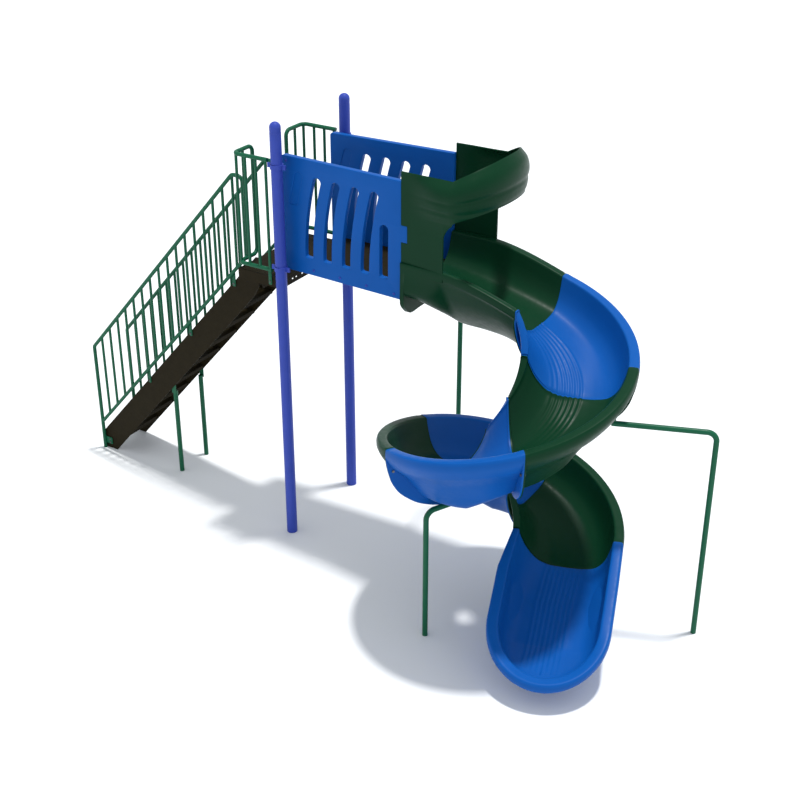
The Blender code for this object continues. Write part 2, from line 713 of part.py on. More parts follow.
def exit_point(s, lateral, dz):
    centre, e, heading, rim = exit_frame()
    drift = EXIT_SHIFT * min(1.0, s / EXIT_EASE)
    return centre + heading * s + e * (lateral + drift) + Vector((0, 0, rim + dz))


def exit_half(s, reach):
    """Half of the exit's cross-section, as (share of half width, height), from bed centre to hull centre.

    The rim is taken at s + reach and each other point at its own share of reach.
    """
    rim = along(EXIT_RIM, s + reach)
    out = []
    for share, depth in EXIT_TOP:
        bed = along(EXIT_BED, s + reach * share)
        out.append((share, bed + (1.0 - depth) * (rim - bed)))
    out += [(share, rim + lift) for share, lift in EXIT_LIP]
    for share in EXIT_UNDER:
        under = along(EXIT_BED, s + reach * share) - EXIT_SKIN
        flank = rim - 0.125 - 1.05 * (0.38 - share * EXIT_HALF)
        out.append((share, max(under, flank)))
    return out


def exit_ring(s, outer):
    """Cross-section of the exit's straight part, easing from the spiral's shape to a shallow even one."""
    blend = min(1.0, s / EXIT_EASE)
    rim = along(EXIT_RIM, s)
    half = exit_half(s, 0.0)
    top = len(EXIT_TOP)
    lip = top + len(EXIT_LIP)
    left = [(-share, dz) for share, dz in half]
    even = left[1:top][::-1] + half[:lip] + half[lip:] + left[lip:-1][::-1] + left[top:lip][::-1]
    scale = (along(EXIT_BED, s) - rim) / BED_DEPTH
    loop = [(r, rim + dz * scale) for r, dz in BED]
    loop += [(r, rim + dz) for r, dz in OUTER_LIP + outer + INNER_LIP]
    out = []
    for (r, dz), (share, level) in zip(loop, even):
        lateral = (r - MID_R) * (1 - blend) + share * EXIT_HALF * blend
        out.append(exit_point(s, lateral, dz * (1 - blend) + level * blend))
    return out


def nose_half(turn):
    """Half cross-section of the rounded nose, turned from one side of the exit to the other."""
    reach = EXIT_NOSE * math.sin(turn)
    out = []
    for share, dz in exit_half(EXIT_STRAIGHT, reach):
        out.append(exit_point(EXIT_STRAIGHT + share * reach, share * EXIT_HALF * math.cos(turn), dz))
    return out


def build_exit():
    centre, e, heading, rim = exit_frame()
    start = exit_ring(0.0, FLANGE)
    rings = [[v + heading * (GAP / 2) for v in start], [v + heading * FLANGE_T for v in start],
             [v + heading * (FLANGE_T + 0.001) for v in exit_ring(0.0, HULL)]]
    for s in (0.08, 0.16, 0.24, 0.32, 0.42, 0.54, EXIT_STRAIGHT):
        rings.append(exit_ring(s, HULL))
    count = len(rings[0])
    verts = [v for ring in rings for v in ring]
    faces = [tuple(range(count))]
    for i in range(len(rings) - 1):
        for k in range(count):
            n = (k + 1) % count
            faces.append((i * count + k, i * count + n, (i + 1) * count + n, (i + 1) * count + k))
    steps = 14
    halves = [nose_half(math.pi * i / steps) for i in range(steps + 1)]
    first = len(verts)
    size = len(halves[0])
    verts += [v for half in halves for v in half]
    for i in range(steps):
        for k in range(size - 1):
            a = first + i * size + k
            faces.append((a, a + 1, a + size + 1, a + size))
    mesh = bored(solid(verts, faces), (TURN * SECTIONS,))
    finish("slide_exit", mesh, BLUE, 0.3, 0.0, True)


def joint_bracket(theta, r0, r1, outline):
    """Angle bracket on a joint flange, from an outline of (heading shift, height) points."""
    e = Vector((math.sin(theta), math.cos(theta), 0.0))
    heading = Vector((math.cos(theta), -math.sin(theta), 0.0))
    axis = Vector((AXIS_X, AXIS_Y, 0.0))
    rings = []
    for r in (r0, r1):
        rings.append([axis + e * r + heading * shift + Vector((0.0, 0.0, z)) for shift, z in outline])
    return rings_to_solid(rings)


def build_brackets():
    face = CHUTE_FLANGE_X + 0.001 + GAP
    low = POLE_A_Z + POLE_R + GAP
    outline = [(face, low), (face + 0.060, low), (face + 0.060, low + BRACKET_T),
               (face + BRACKET_T, low + BRACKET_T), (face + BRACKET_T, low + 0.095), (face, low + 0.095)]
    finish("pole_a_bracket", prism(outline, 0.575, 0.625), RAIL_GREEN, 0.4, 0.0, False)
    face = -FLANGE_T - 0.0013
    back = face - BRACKET_T
    low = POLE_B_Z + POLE_R + GAP
    high = RIM_Z - PITCH * TURN - 0.310
    outline = [(face, low), (-0.050, low), (-0.050, low + BRACKET_T), (back, low + BRACKET_T), (back, high),
               (face, high)]
    finish("pole_b_bracket", joint_bracket(TURN, 0.755, 0.800, outline), RAIL_GREEN, 0.4, 0.0, False)
    top = POLE_C_Z + POLE_R + GAP
    outline = [(face, top - 0.030), (back, top - 0.030), (back, top), (-0.075, top), (-0.075, top + BRACKET_T),
               (face, top + BRACKET_T)]
    finish("pole_c_bracket", joint_bracket(TURN * 3, 0.455, 0.500, outline), RAIL_GREEN, 0.4, 0.0, False)


def build_poles():
    path = rounded([(POLE_A[0], POLE_A[1], 0), (POLE_A[0], POLE_A[1], POLE_A_Z),
                    (POLE_A_END[0], POLE_A_END[1], POLE_A_Z)], BEND_R, 6)
    finish("pole_a", tube(path, POLE_R, 14), RAIL_GREEN, 0.4, 0.0, True)
    out = Vector((POLE_B[0] - AXIS_X, POLE_B[1] - AXIS_Y, 0)).normalized()
    tip = Vector((AXIS_X, AXIS_Y, POLE_B_Z)) + out * POLE_B_END_R
    path = rounded([(POLE_B[0], POLE_B[1], 0), (POLE_B[0], POLE_B[1], POLE_B_Z), tip], BEND_R, 6)
    finish("pole_b", tube(path, POLE_R, 14), RAIL_GREEN, 0.4, 0.0, True)
    path = rounded([(POLE_C[0], POLE_C[1], 0), (POLE_C[0], POLE_C[1], POLE_C_Z),
                    (POLE_C_END[0], POLE_C_END[1], POLE_C_Z)], BEND_R, 6)
    finish("pole_c", tube(path, POLE_R, 14), RAIL_GREEN, 0.4, 0.0, True)


def centre_on_ground():
    """Moves every piece so that the footprint's centre is at the origin."""
    points = [v.co for obj in bpy.data.objects for v in obj.data.vertices]
    xs = [p.x for p in points]
    ys = [p.y for p in points]
    shift = Vector(((min(xs) + max(xs)) / 2, (min(ys) + max(ys)) / 2, 0))
    for obj in bpy.data.objects:
        for vert in obj.data.vertices:
            vert.co -= shift


clear_scene()
build_posts()
build_clamps()
build_deck()
build_landing()
build_stringers()
build_treads()
build_handrails()
build_guards()
build_legs()
build_panels()
build_hood()
build_spiral()
build_exit()
build_poles()
build_brackets()
centre_on_ground()
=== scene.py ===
"""Looks of the free-standing spiral playground slide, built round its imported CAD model."""
import math

import bmesh
import bpy
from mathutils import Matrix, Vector


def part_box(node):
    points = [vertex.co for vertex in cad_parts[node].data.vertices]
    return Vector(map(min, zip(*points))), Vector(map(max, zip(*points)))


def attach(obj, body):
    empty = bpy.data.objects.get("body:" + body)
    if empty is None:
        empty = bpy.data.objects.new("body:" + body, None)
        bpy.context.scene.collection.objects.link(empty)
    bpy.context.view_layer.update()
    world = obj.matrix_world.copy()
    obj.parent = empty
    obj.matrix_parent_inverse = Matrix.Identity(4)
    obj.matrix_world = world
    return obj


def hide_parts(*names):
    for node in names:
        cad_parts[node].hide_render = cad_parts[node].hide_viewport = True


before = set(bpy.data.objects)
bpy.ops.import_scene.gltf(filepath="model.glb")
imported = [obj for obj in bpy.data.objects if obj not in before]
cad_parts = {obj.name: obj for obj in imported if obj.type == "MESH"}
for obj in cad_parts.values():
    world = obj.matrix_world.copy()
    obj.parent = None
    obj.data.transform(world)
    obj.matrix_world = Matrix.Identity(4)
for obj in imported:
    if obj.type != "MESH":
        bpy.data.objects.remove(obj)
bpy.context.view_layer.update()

# The layout frame has the near post's axis at x = y = 0
post_low, post_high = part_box("near_post")
SHIFT = Vector(((post_low[0] + post_high[0]) / 2, (post_low[1] + post_high[1]) / 2, 0.0))

# Tower, in metres
BAY = 0.9144
MID_Y = BAY / 2
DECK_Z = 2.437
PANEL_X0 = -0.0365
PANEL_X1 = 1.0610
PANEL_Z0 = 2.377
PANEL_Z1 = 3.300
PANEL_T = 0.046
PANEL_Y0 = 0.108
PANEL_EDGE = 0.0045
PANEL_RADII = (0.012, 0.004, 0.003, 0.006, 0.006, 0.003, 0.004, 0.022)
PANEL_BOLTS = ((0.244, 2.420), (0.495, 2.420), (0.745, 2.417), (0.998, 2.412))
PANEL_TOP_BOLT = (0.010, 3.262)
PANEL_BOLT_R = 0.0105
PANEL_BOLT_H = 0.006
SPLAY = 0.0496
TAB_X = 1.114
TAB_Z0 = 2.836
TAB_Z1 = 2.967
SLOT_FIRST_X = 0.2035
SLOT_PITCH = 0.176
SLOT_COUNT = 4
SLOT_LEAN = 0.100
SLOT_HALF = 0.038
SLOT_Z0 = 2.515
SLOT_Z1 = 3.172
SLOT_FOOT_R = 0.014
SLOT_STEPS = 14
CROWN_STEPS = 12
FOOT_STEPS = 4
SHORT_SLOT_X = 0.904
SHORT_SLOT_LEAN = 0.012
SHORT_SLOT_Z1 = 2.935
OVAL_Z0 = 2.920
OVAL_Z1 = 3.190
OVAL_RECESS = 0.005
RAIL_R = 0.0165
PICKET_R = 0.0120
GUARD_TOP = 3.276
GUARD_LOW = 2.388
GUARD_CORNER_X = -0.409
GUARD_END_X = -0.086
GUARD_RETURN = 0.235
GUARD_BEND = 0.050
GUARD_PICKETS = (-0.300, -0.200, -0.105)
GUARD_CORNER_PICKET = 0.014
GUARD_RETURN_PICKET = 0.115
GUARD_LUG_T = 0.009
GUARD_LUG_EDGE = 0.003
GUARD_LUG_Z0 = 2.262
GUARD_BOLT_Z = 2.288
GUARD_BOLT_R = 0.009
STAIR_Y0 = 0.254
RAIL_Y0 = 0.237
RAIL_FOOT_X = -2.353
RAIL_BEND_Z = 1.057
RAIL_TOP_X = -0.628
RAIL_TOP_Z = 2.999
RAIL_END_X = -0.525
LOW_RAIL_Z0 = 0.275
LOW_RAIL_SLOPE = 1.120
PICKET_PITCH = 0.1078
PICKET_COUNT = 16
LOW_RAIL_R = RAIL_R * 0.93
RAIL_BEND = 0.045
FEET_X = (-1.717, -1.190, -0.677)
LUG_HALF = 0.015
LUG_INSET = 0.006
LUG_DEPTH = 0.045
LUG_EDGE = 0.004
FOOT_PLATE_X1 = -2.268
FOOT_PLATE_Z0 = 0.045
FOOT_PLATE_Z1 = 0.115
FOOT_BOLT_X = -2.290
FOOT_BOLTS_Z = (0.063, 0.097)
LUG_BOLT_DROP = 0.022
RAIL_BOLT_R = 0.0095
SMALL_BOLT_H = 0.0055
STRINGER_X0 = -2.348
STRINGER_Z0 = 0.187
STRINGER_SLOPE = 1.1275
GAP = 0.0003

# Slide: cross-sections are (radius, height) from the spiral's axis and rim
AXIS_X = 2.0216
AXIS_Y = -0.0597
TURN = math.radians(72.0)
SECTIONS = 6
RIM_Z = 2.509
PITCH = 0.2319
FLANGE_T = 0.010
MID_R = 0.516
BED = ((0.152, -0.030), (0.205, -0.141), (0.283, -0.231), (0.370, -0.274), (0.450, -0.282), (0.530, -0.283),
       (0.640, -0.278), (0.730, -0.256), (0.790, -0.200), (0.825, -0.125), (0.850, -0.030))
OUTER_LIP = ((0.858, 0.004), (0.872, 0.010), (0.918, 0.010), (0.932, 0.000), (0.935, -0.050))
HULL = ((0.896, -0.131), (0.848, -0.181), (0.777, -0.253), (0.724, -0.326), (0.660, -0.416), (0.605, -0.468),
        (0.530, -0.500), (0.460, -0.500), (0.380, -0.440), (0.280, -0.340), (0.200, -0.230), (0.150, -0.140),
        (0.118, -0.075))
INNER_LIP = ((0.100, -0.045), (0.097, 0.000), (0.105, 0.010), (0.138, 0.010), (0.147, 0.003))
FLANGE = ((0.925, -0.131), (0.908, -0.205), (0.880, -0.290), (0.822, -0.379), (0.714, -0.468),
          (0.630, -0.510), (0.530, -0.540), (0.460, -0.540), (0.360, -0.495), (0.260, -0.410),
          (0.180, -0.300), (0.120, -0.180), (0.092, -0.080))
BED_DEPTH = -0.283
KEEL = 6
KEEL_DROP = 0.065
KEEL_SHARES = {5: 0.6, 6: 1.0, 7: 0.9, 8: 0.5}
SECTION_STEPS = 24
FLANGE_STEP = 0.001
RIDGE_FIRST = 0.305
RIDGE_PITCH = 0.036
RIDGE_COUNT = 7
RIDGE_H = 0.0065
RIDGE_END = 1.75 * TURN
RIDGE_FADE = 0.45 * TURN
FIRST_DEPTH = 0.90
CHUTE_X0 = 1.0618
CHUTE_FLANGE_X = 1.0950
BOX_X1 = 1.400
CHUTE_DIP = 0.25
HOOD_T = 0.014
HOOD_CROWN = 0.4
HOOD_FOOT = ((1.0618, 2.600), (1.150, 2.600), (1.230, 2.600), (1.310, 2.600), (1.370, 2.600), (1.421, 2.600),
             (1.422, 2.945), (1.437, 2.985), (1.460, 3.018), (1.490, 3.045))
BOW_DEPTH = 0.250
BOW_LIFT = 0.125
BOW_POWER = 0.6
SIDE_STEPS = 14
ARCH_STEPS = 8
BOW_STEPS = 64
HOOD_TOP = 3.370
HOOD_RISE = 0.128
FOLD_Z = 3.050
FOLD_FOOT = 0.020
ROLL_X0 = 1.120
ROLL_RUN = 0.300
ROLL = ((0.0, 0.0), (0.10, 0.014), (0.22, 0.032), (0.36, 0.043), (0.52, 0.051), (0.70, 0.054), (0.86, 0.036),
        (1.0, -0.008))
ROLL_PARTS = (4, 5, 5, 6, 6, 6, 6)
FLUTES = ((0.28, 0.045, 0.0075), (0.53, 0.040, 0.0065))
POCKET_GAP = 0.0008
POCKET_REACH = 0.30
POCKET_PAST = 0.20
POCKET_START = CHUTE_X0 - 0.02
POCKET_CUT = 0.0005
CHUTE_RIM = ((1.0618, 2.672), (1.420, 2.664), (1.550, 2.646), (1.700, 2.612), (1.860, 2.564), (2.0216, 2.509))
HOOD_STATIONS = ((1.0618, 2.250), (1.0950, 2.250), (1.0960, 2.372), (1.160, 2.335), (1.240, 2.260),
                 (1.330, 2.170), (1.400, 2.135), (1.600, 2.130), (1.800, 2.110), (1.950, 2.050),
                 (2.0116, 2.009))
BOX = ((0.935, 0.30), (0.935, 0.52), (0.935, 0.735), (0.902, 0.87), (0.832, 1.0), (0.700, 1.0), (0.530, 1.0),
       (0.460, 1.0), (0.330, 1.0), (0.200, 1.0), (0.130, 0.87), (0.097, 0.735), (0.098, 0.40))
EXIT_STRAIGHT = 0.660
EXIT_NOSE = 0.486
EXIT_HALF = 0.452
EXIT_EASE = 0.300
EXIT_SKIN = 0.030
EXIT_SHIFT = -0.027
EXIT_RIM = ((0.0, 0.0), (0.20, -0.092), (0.42, -0.205), (0.66, -0.318), (1.15, -0.520))
EXIT_BED = ((0.0, -0.283), (0.20, -0.388), (0.42, -0.480), (0.66, -0.548), (1.15, -0.585))
EXIT_TOP = ((0.0, 1.0), (0.20, 1.0), (0.42, 0.985), (0.60, 0.90), (0.74, 0.62), (0.80, 0.10))
EXIT_LIP = ((0.815, 0.004), (0.850, 0.010), (0.960, 0.010), (0.993, 0.0), (1.0, -0.050))
EXIT_UNDER = (0.93, 0.82, 0.66, 0.50, 0.34, 0.18, 0.0)
EXIT_FLANK_DROP = 0.125
EXIT_FLANK_SLOPE = 1.05
EXIT_FLANK_REACH = 0.38
EXIT_FIRST_STEP = 0.03
EXIT_STEPS = 26
NOSE_STEPS = 56
EXIT_RIDGES = 8
EXIT_RIDGE_FIRST = -0.165
EXIT_RIDGE_PITCH = 0.037
EXIT_RIDGE_H = 0.006
EXIT_RIDGE_START = 0.05
EXIT_RIDGE_END = EXIT_STRAIGHT + 0.345
EXIT_RIDGE_FADE = 0.03

# Mesh steps along each span of a loop: the bed, then the outer lip, underside and inner lip
RIM_PARTS = [2, 3, 2, 2, 3] + [3] * 13 + [2, 2, 2, 2, 2]
BED_PARTS = [5, 7, 12, 11, 11, 15, 12, 5, 4, 5, 3]
EXIT_BED_PARTS = [4, 6, 9, 11, 11, 11, 11, 9, 6, 4, 3]

# Support poles: foot, height and where the top ends; pole B's top points at the spiral's axis
POLE_R = 0.021
POLE_BEND = 0.070
POLE_A = (0.978, 1.120)
POLE_A_Z = 2.210
POLE_A_R = 0.0205
POLE_A_END = (1.128, 0.600)
POLE_B = (3.442, 0.469)
POLE_B_Z = 1.750
POLE_B_REACH = 0.770
POLE_C = (1.711, -0.642)
POLE_C_Z = 1.108
POLE_C_END = (1.800, -0.450)

# Button-head bolt: (share of the radius, share of the height, whether the ring is a hexagon)
HEAD_PROFILE = ((1.0, 0.0, False), (1.0, 0.25, False), (0.92, 0.6, False), (0.70, 0.92, False),
                (0.50, 1.0, True), (0.46, 0.98, True), (0.46, 0.45, True))
HEAD_SIDES = 24
OUTWARD = (0, -1, 0)
BOLT_GAP = 0.0004

# Colours, linear
BLUE = (0.0035, 0.090, 0.380, 1.0)
GREEN = (0.0030, 0.036, 0.0145, 1.0)
POST_BLUE = (0.036, 0.068, 0.400, 1.0)
RAIL_GREEN = (0.0070, 0.105, 0.050, 1.0)
BROWN = (0.016, 0.012, 0.0045, 1.0)
ZINC = (0.140, 0.145, 0.155, 1.0)
# Painted shade: near-black that stands in for the dark seen through the deck's holes
HOLE_PAINTED_SHADE = (0.0015, 0.0012, 0.001, 1.0)
FLOOR_WHITE = (0.86, 0.88, 0.90, 1.0)
SKY_WHITE = (0.93, 0.96, 1.0, 1.0)

# Stage
FLOOR_HALF = 60.0
FLOOR_DROP = 0.0005
SKY_STRENGTH = 0.75
SUN_STRENGTH = 2.6
SUN_SPREAD = math.radians(4.0)
SUN_WARMTH = (1.0, 0.985, 0.96)
SUN_DIRECTION = (-0.092, -0.112, -0.989)
CAMERA_PLACE = (6.0320, -7.9432, 6.5181)
CAMERA_DOWN = 0.4866
CAMERA_TURN = 0.5568
CAMERA_LENS = 62.03


# ---------------------------------------------------------------- materials

def tree_of(name):
    mat = bpy.data.materials.new(name)
    mat.use_nodes = True
    return mat, mat.node_tree, mat.node_tree.nodes["Principled BSDF"]


def noise(tree, scale, detail, rough):
    node = tree.nodes.new("ShaderNodeTexNoise")
    node.inputs["Scale"].default_value = scale
    node.inputs["Detail"].default_value = detail
    node.inputs["Roughness"].default_value = rough
    place = tree.nodes.new("ShaderNodeTexCoord")
    tree.links.new(place.outputs["Object"], node.inputs["Vector"])
    return node.outputs["Fac"]


def spread(tree, value, low, high):
    node = tree.nodes.new("ShaderNodeMapRange")
    tree.links.new(value, node.inputs["Value"])
    node.inputs["From Min"].default_value = 0.3
    node.inputs["From Max"].default_value = 0.7
    node.inputs["To Min"].default_value = low
    node.inputs["To Max"].default_value = high
    return node.outputs["Result"]


def tinted(tree, factor, colour, low, high):
    """Colour that runs between two brightnesses of one hue."""
    mix = tree.nodes.new("ShaderNodeMix")
    mix.data_type = "RGBA"
    mix.inputs["A"].default_value = [c * low for c in colour[:3]] + [1.0]
    mix.inputs["B"].default_value = [min(1.0, c * high) for c in colour[:3]] + [1.0]
    tree.links.new(factor, mix.inputs["Factor"])
    return mix.outputs["Result"]


def textured(tree, shader, height, strength, distance):
    """Surface texture raised by the given height."""
    bump = tree.nodes.new("ShaderNodeBump")
    bump.inputs["Strength"].default_value = strength
    bump.inputs["Distance"].default_value = distance
    tree.links.new(height, bump.inputs["Height"])
    tree.links.new(bump.outputs["Normal"], shader.inputs["Normal"])


def moulded_plastic(name, colour, rough):
    """Rotationally moulded plastic: orange-peel skin, faint mottling and fine scuffs."""
    mat, tree, shader = tree_of(name)
    cloud = noise(tree, 3.0, 4.0, 0.55)
    tree.links.new(tinted(tree, cloud, colour, 0.90, 1.10), shader.inputs["Base Color"])
    scuff = noise(tree, 24.0, 6.0, 0.65)
    tree.links.new(spread(tree, scuff, rough - 0.05, rough + 0.09), shader.inputs["Roughness"])
    shader.inputs["Specular IOR Level"].default_value = 0.09
    peel = noise(tree, 240.0, 2.0, 0.5)
    textured(tree, shader, peel, 0.06, 0.0012)
    return mat


def powder_coat(name, colour, rough):
    """Powder-coated steel: fine texture, slight gloss change and worn patches."""
    mat, tree, shader = tree_of(name)
    cloud = noise(tree, 9.0, 5.0, 0.6)
    tree.links.new(tinted(tree, cloud, colour, 0.88, 1.12), shader.inputs["Base Color"])
    patch = noise(tree, 40.0, 5.0, 0.6)
    tree.links.new(spread(tree, patch, rough - 0.06, rough + 0.08), shader.inputs["Roughness"])
    shader.inputs["Specular IOR Level"].default_value = 0.14
    shader.inputs["Coat Weight"].default_value = 0.08
    shader.inputs["Coat Roughness"].default_value = 0.22
    grain = noise(tree, 900.0, 2.0, 0.5)
    textured(tree, shader, grain, 0.12, 0.0004)
    return mat


def coated_steel(name, colour, rough, pierced):
    """Brown plastisol coating, with the rows of small holes of a walking surface where it is pierced; the
    holes are not cut but painted near-black, a painted shade for the dark seen through them.
    """
    mat, tree, shader = tree_of(name)
    cloud = noise(tree, 14.0, 5.0, 0.6)
    base = tinted(tree, cloud, colour, 0.75, 1.30)
    patch = noise(tree, 60.0, 5.0, 0.6)
    tree.links.new(spread(tree, patch, rough - 0.08, rough + 0.08), shader.inputs["Roughness"])
    shader.inputs["Specular IOR Level"].default_value = 0.08
    height = noise(tree, 500.0, 2.0, 0.5)
    if pierced:
        place = tree.nodes.new("ShaderNodeTexCoord")
        dots = tree.nodes.new("ShaderNodeTexVoronoi")
        dots.inputs["Scale"].default_value = 42.0
        dots.inputs["Randomness"].default_value = 0.0
        tree.links.new(place.outputs["Object"], dots.inputs["Vector"])
        edge = tree.nodes.new("ShaderNodeMapRange")
        edge.inputs["From Min"].default_value = 0.26
        edge.inputs["From Max"].default_value = 0.34
        tree.links.new(dots.outputs["Distance"], edge.inputs["Value"])
        mix = tree.nodes.new("ShaderNodeMix")
        mix.data_type = "RGBA"
        # Painted shade: the hole mask gets near-black in place of the dark seen through real holes
        mix.inputs["A"].default_value = HOLE_PAINTED_SHADE
        tree.links.new(base, mix.inputs["B"])
        tree.links.new(edge.outputs["Result"], mix.inputs["Factor"])
        base = mix.outputs["Result"]
        height = edge.outputs["Result"]
    tree.links.new(base, shader.inputs["Base Color"])
    textured(tree, shader, height, 0.35, 0.001)
    return mat


def plated_steel(name, colour, rough):
    """Zinc-plated steel with a slightly uneven grey."""
    mat, tree, shader = tree_of(name)
    cloud = noise(tree, 120.0, 4.0, 0.6)
    tree.links.new(tinted(tree, cloud, colour, 0.75, 1.10), shader.inputs["Base Color"])
    tree.links.new(spread(tree, cloud, rough - 0.08, rough + 0.12), shader.inputs["Roughness"])
    shader.inputs["Metallic"].default_value = 1.0
    return mat


BLUE_PLASTIC = moulded_plastic("blue_plastic", BLUE, 0.36)
GREEN_PLASTIC = moulded_plastic("green_plastic", GREEN, 0.34)
POST_PAINT = powder_coat("post_paint", POST_BLUE, 0.42)
RAIL_PAINT = powder_coat("rail_paint", RAIL_GREEN, 0.40)
BROWN_STEEL = coated_steel("brown_steel", BROWN, 0.62, False)
BROWN_DECK = coated_steel("brown_deck", BROWN, 0.62, True)
BOLT_STEEL = plated_steel("bolt_steel", ZINC, 0.34)
BOLT_BLUE = powder_coat("bolt_blue", POST_BLUE, 0.30)


# ---------------------------------------------------------------- mesh helpers

def piece(name, verts, faces, material, nodes, angle=35.0):
    """Welded mesh in the row frame that stands for the named CAD nodes."""
    mesh = bpy.data.meshes.new(name)
    mesh.from_pydata([tuple(Vector(v) + SHIFT) for v in verts], [], faces)
    bm = bmesh.new()
    bm.from_mesh(mesh)
    bmesh.ops.remove_doubles(bm, verts=bm.verts, dist=0.00001)
    bmesh.ops.recalc_face_normals(bm, faces=bm.faces)
    bm.to_mesh(mesh)
    bm.free()
    mesh.materials.append(material)
    mesh.shade_smooth()
    mesh.set_sharp_from_angle(angle=math.radians(angle))
    obj = bpy.data.objects.new(name, mesh)
    bpy.context.collection.objects.link(obj)
    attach(obj, "root")
    if nodes:
        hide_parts(*nodes)
    return obj


def grid_faces(count, rings):
    """Faces between closed rings of equal count."""
    faces = []
    for i in range(rings - 1):
        for k in range(count):
            n = (k + 1) % count
            a = i * count
            b = a + count
            faces.append((a + k, a + n, b + n, b + k))
    return faces


def rings_body(rings):
    """Vertices and faces of a closed body from equal rings."""
    count = len(rings[0])
    verts = [v for ring in rings for v in ring]
    faces = grid_faces(count, len(rings))
    faces.append(tuple(range(count)))
    faces.append(tuple(range(len(verts) - count, len(verts))))
    return verts, faces


def add_body(verts, faces, body):
    """Adds a body's vertices and faces to the given lists."""
    base = len(verts)
    verts += body[0]
    faces += [tuple(i + base for i in face) for face in body[1]]


def smooth_line(points, parts, closed):
    """Points on a Catmull-Rom curve through the given ones; parts gives the steps of each span."""
    count = len(points)
    spans = count if closed else count - 1
    out = []
    for i in range(spans):
        p1 = Vector(points[i])
        p2 = Vector(points[(i + 1) % count])
        p0 = Vector(points[i - 1]) if closed or i > 0 else p1 * 2 - p2
        p3 = Vector(points[(i + 2) % count]) if closed or i + 2 < count else p2 * 2 - p1
        m1 = (p2 - p0) * 0.5
        m2 = (p3 - p1) * 0.5
        span = (p2 - p1).length
        m1 = m1 * min(1.0, 1.2 * span / max(m1.length, 1e-9))
        m2 = m2 * min(1.0, 1.2 * span / max(m2.length, 1e-9))
        for k in range(parts[i]):
            t = k / parts[i]
            a = 2 * t ** 3 - 3 * t ** 2 + 1
            b = t ** 3 - 2 * t ** 2 + t
            c = -2 * t ** 3 + 3 * t ** 2
            d = t ** 3 - t ** 2
            out.append(p1 * a + m1 * b + p2 * c + m2 * d)
    if not closed:
        out.append(Vector(points[-1]))
    return out


def rounded(points, radius, steps):
    """Path through the points with an arc of the given radius at each corner."""
    pts = [Vector(p) for p in points]
    out = [pts[0]]
    for before, corner, after in zip(pts, pts[1:], pts[2:]):
        u = (before - corner).normalized()
        v = (after - corner).normalized()
        half = u.angle(v) / 2
        reach = radius / math.tan(half)
        start = corner + u * reach
        end = corner + v * reach
        centre = corner + (u + v).normalized() * (radius / math.sin(half))
        sweep = math.pi - 2 * half
        for i in range(steps + 1):
            a = sweep * i / steps
            first = math.sin(sweep - a) / math.sin(sweep)
            last = math.sin(a) / math.sin(sweep)
            out.append(centre + (start - centre) * first + (end - centre) * last)
    out.append(pts[-1])
    return out


def tube(path, radius, sides=18):
    """Round bar along a path."""
    pts = [Vector(p) for p in path]
    rings = []
    normal = None
    for i, point in enumerate(pts):
        ahead = pts[min(i + 1, len(pts) - 1)] - point
        behind = point - pts[max(i - 1, 0)]
        tangent = (ahead.normalized() + behind.normalized()).normalized()
        if normal is None:
            normal = Vector((0.0, 1.0, 0.0)) if abs(tangent.y) < 0.9 else Vector((1.0, 0.0, 0.0))
        normal = (normal - tangent * normal.dot(tangent)).normalized()
        side = tangent.cross(normal)
        ring = []
        for k in range(sides):
            a = 2 * math.pi * (k + 0.5) / sides
            ring.append(point + radius * (math.cos(a) * normal + math.sin(a) * side))
        rings.append(ring)
    return rings_body(rings)


def chamfered_box(lo, hi, cut):
    """Box with its edges cut, as stacked rings along Z; the cut is half as deep along Y."""
    rings = []
    for z, inset in ((lo[2], cut), (lo[2] + cut, 0.0), (hi[2] - cut, 0.0), (hi[2], cut)):
        x0, x1 = lo[0] + inset, hi[0] - inset
        y0, y1 = lo[1] + inset * 0.5, hi[1] - inset * 0.5
        half = cut * 0.5
        rings.append([Vector((x0 + cut, y0, z)), Vector((x1 - cut, y0, z)), Vector((x1, y0 + half, z)),
                      Vector((x1, y1 - half, z)), Vector((x1 - cut, y1, z)), Vector((x0 + cut, y1, z)),
                      Vector((x0, y1 - half, z)), Vector((x0, y0 + half, z))])
    return rings_body(rings)


def button_head(centre, axis, radius, depth):
    """Low domed bolt head with a hexagon recess."""
    axis = Vector(axis).normalized()
    side = axis.orthogonal().normalized()
    up = axis.cross(side)
    rings = []
    for r, h, hexed in HEAD_PROFILE:
        ring = []
        for k in range(HEAD_SIDES):
            a = 2 * math.pi * k / HEAD_SIDES
            scale = r
            if hexed:
                scale = r * math.cos(math.pi / 6) / math.cos(a % (math.pi / 3) - math.pi / 6)
            spoke = side * math.cos(a) + up * math.sin(a)
            ring.append(Vector(centre) + axis * depth * h + spoke * radius * scale)
        rings.append(ring)
    return rings_body(rings)


def mirror_y(verts):
    return [Vector((v[0], BAY - v[1], v[2])) for v in verts]


def both_sides(name, verts, faces, material, nodes, angle=35.0):
    """The near piece and its mirror image on the far side."""
    piece("near_" + name, verts, faces, material, ["near_" + n for n in nodes], angle)
    piece("far_" + name, mirror_y(verts), faces, material, ["far_" + n for n in nodes], angle)


# ---------------------------------------------------------------- slide

def ridge(r, strength):
    """Height of the lengthwise ridges moulded in the bed."""
    t = (r - RIDGE_FIRST) / RIDGE_PITCH
    if strength <= 0.0 or t < 0.0 or t > RIDGE_COUNT:
        return 0.0
    return strength * RIDGE_H * math.sin(math.pi * (t % 1.0)) ** 2


def dense_loop(control, ridges):
    """Smooth closed cross-section through the control points, with the bed's ridges."""
    loop = smooth_line([(r, dz, 0.0) for r, dz in control], BED_PARTS + RIM_PARTS, True)
    bed_points = sum(BED_PARTS)
    out = []
    for i, p in enumerate(loop):
        lift = ridge(p.x, ridges) if i < bed_points else 0.0
        out.append((p.x, p.y + lift))
    return out


def depth_scale(theta):
    """The bed deepens along the first section."""
    return FIRST_DEPTH + (1.0 - FIRST_DEPTH) * min(1.0, theta / TURN)


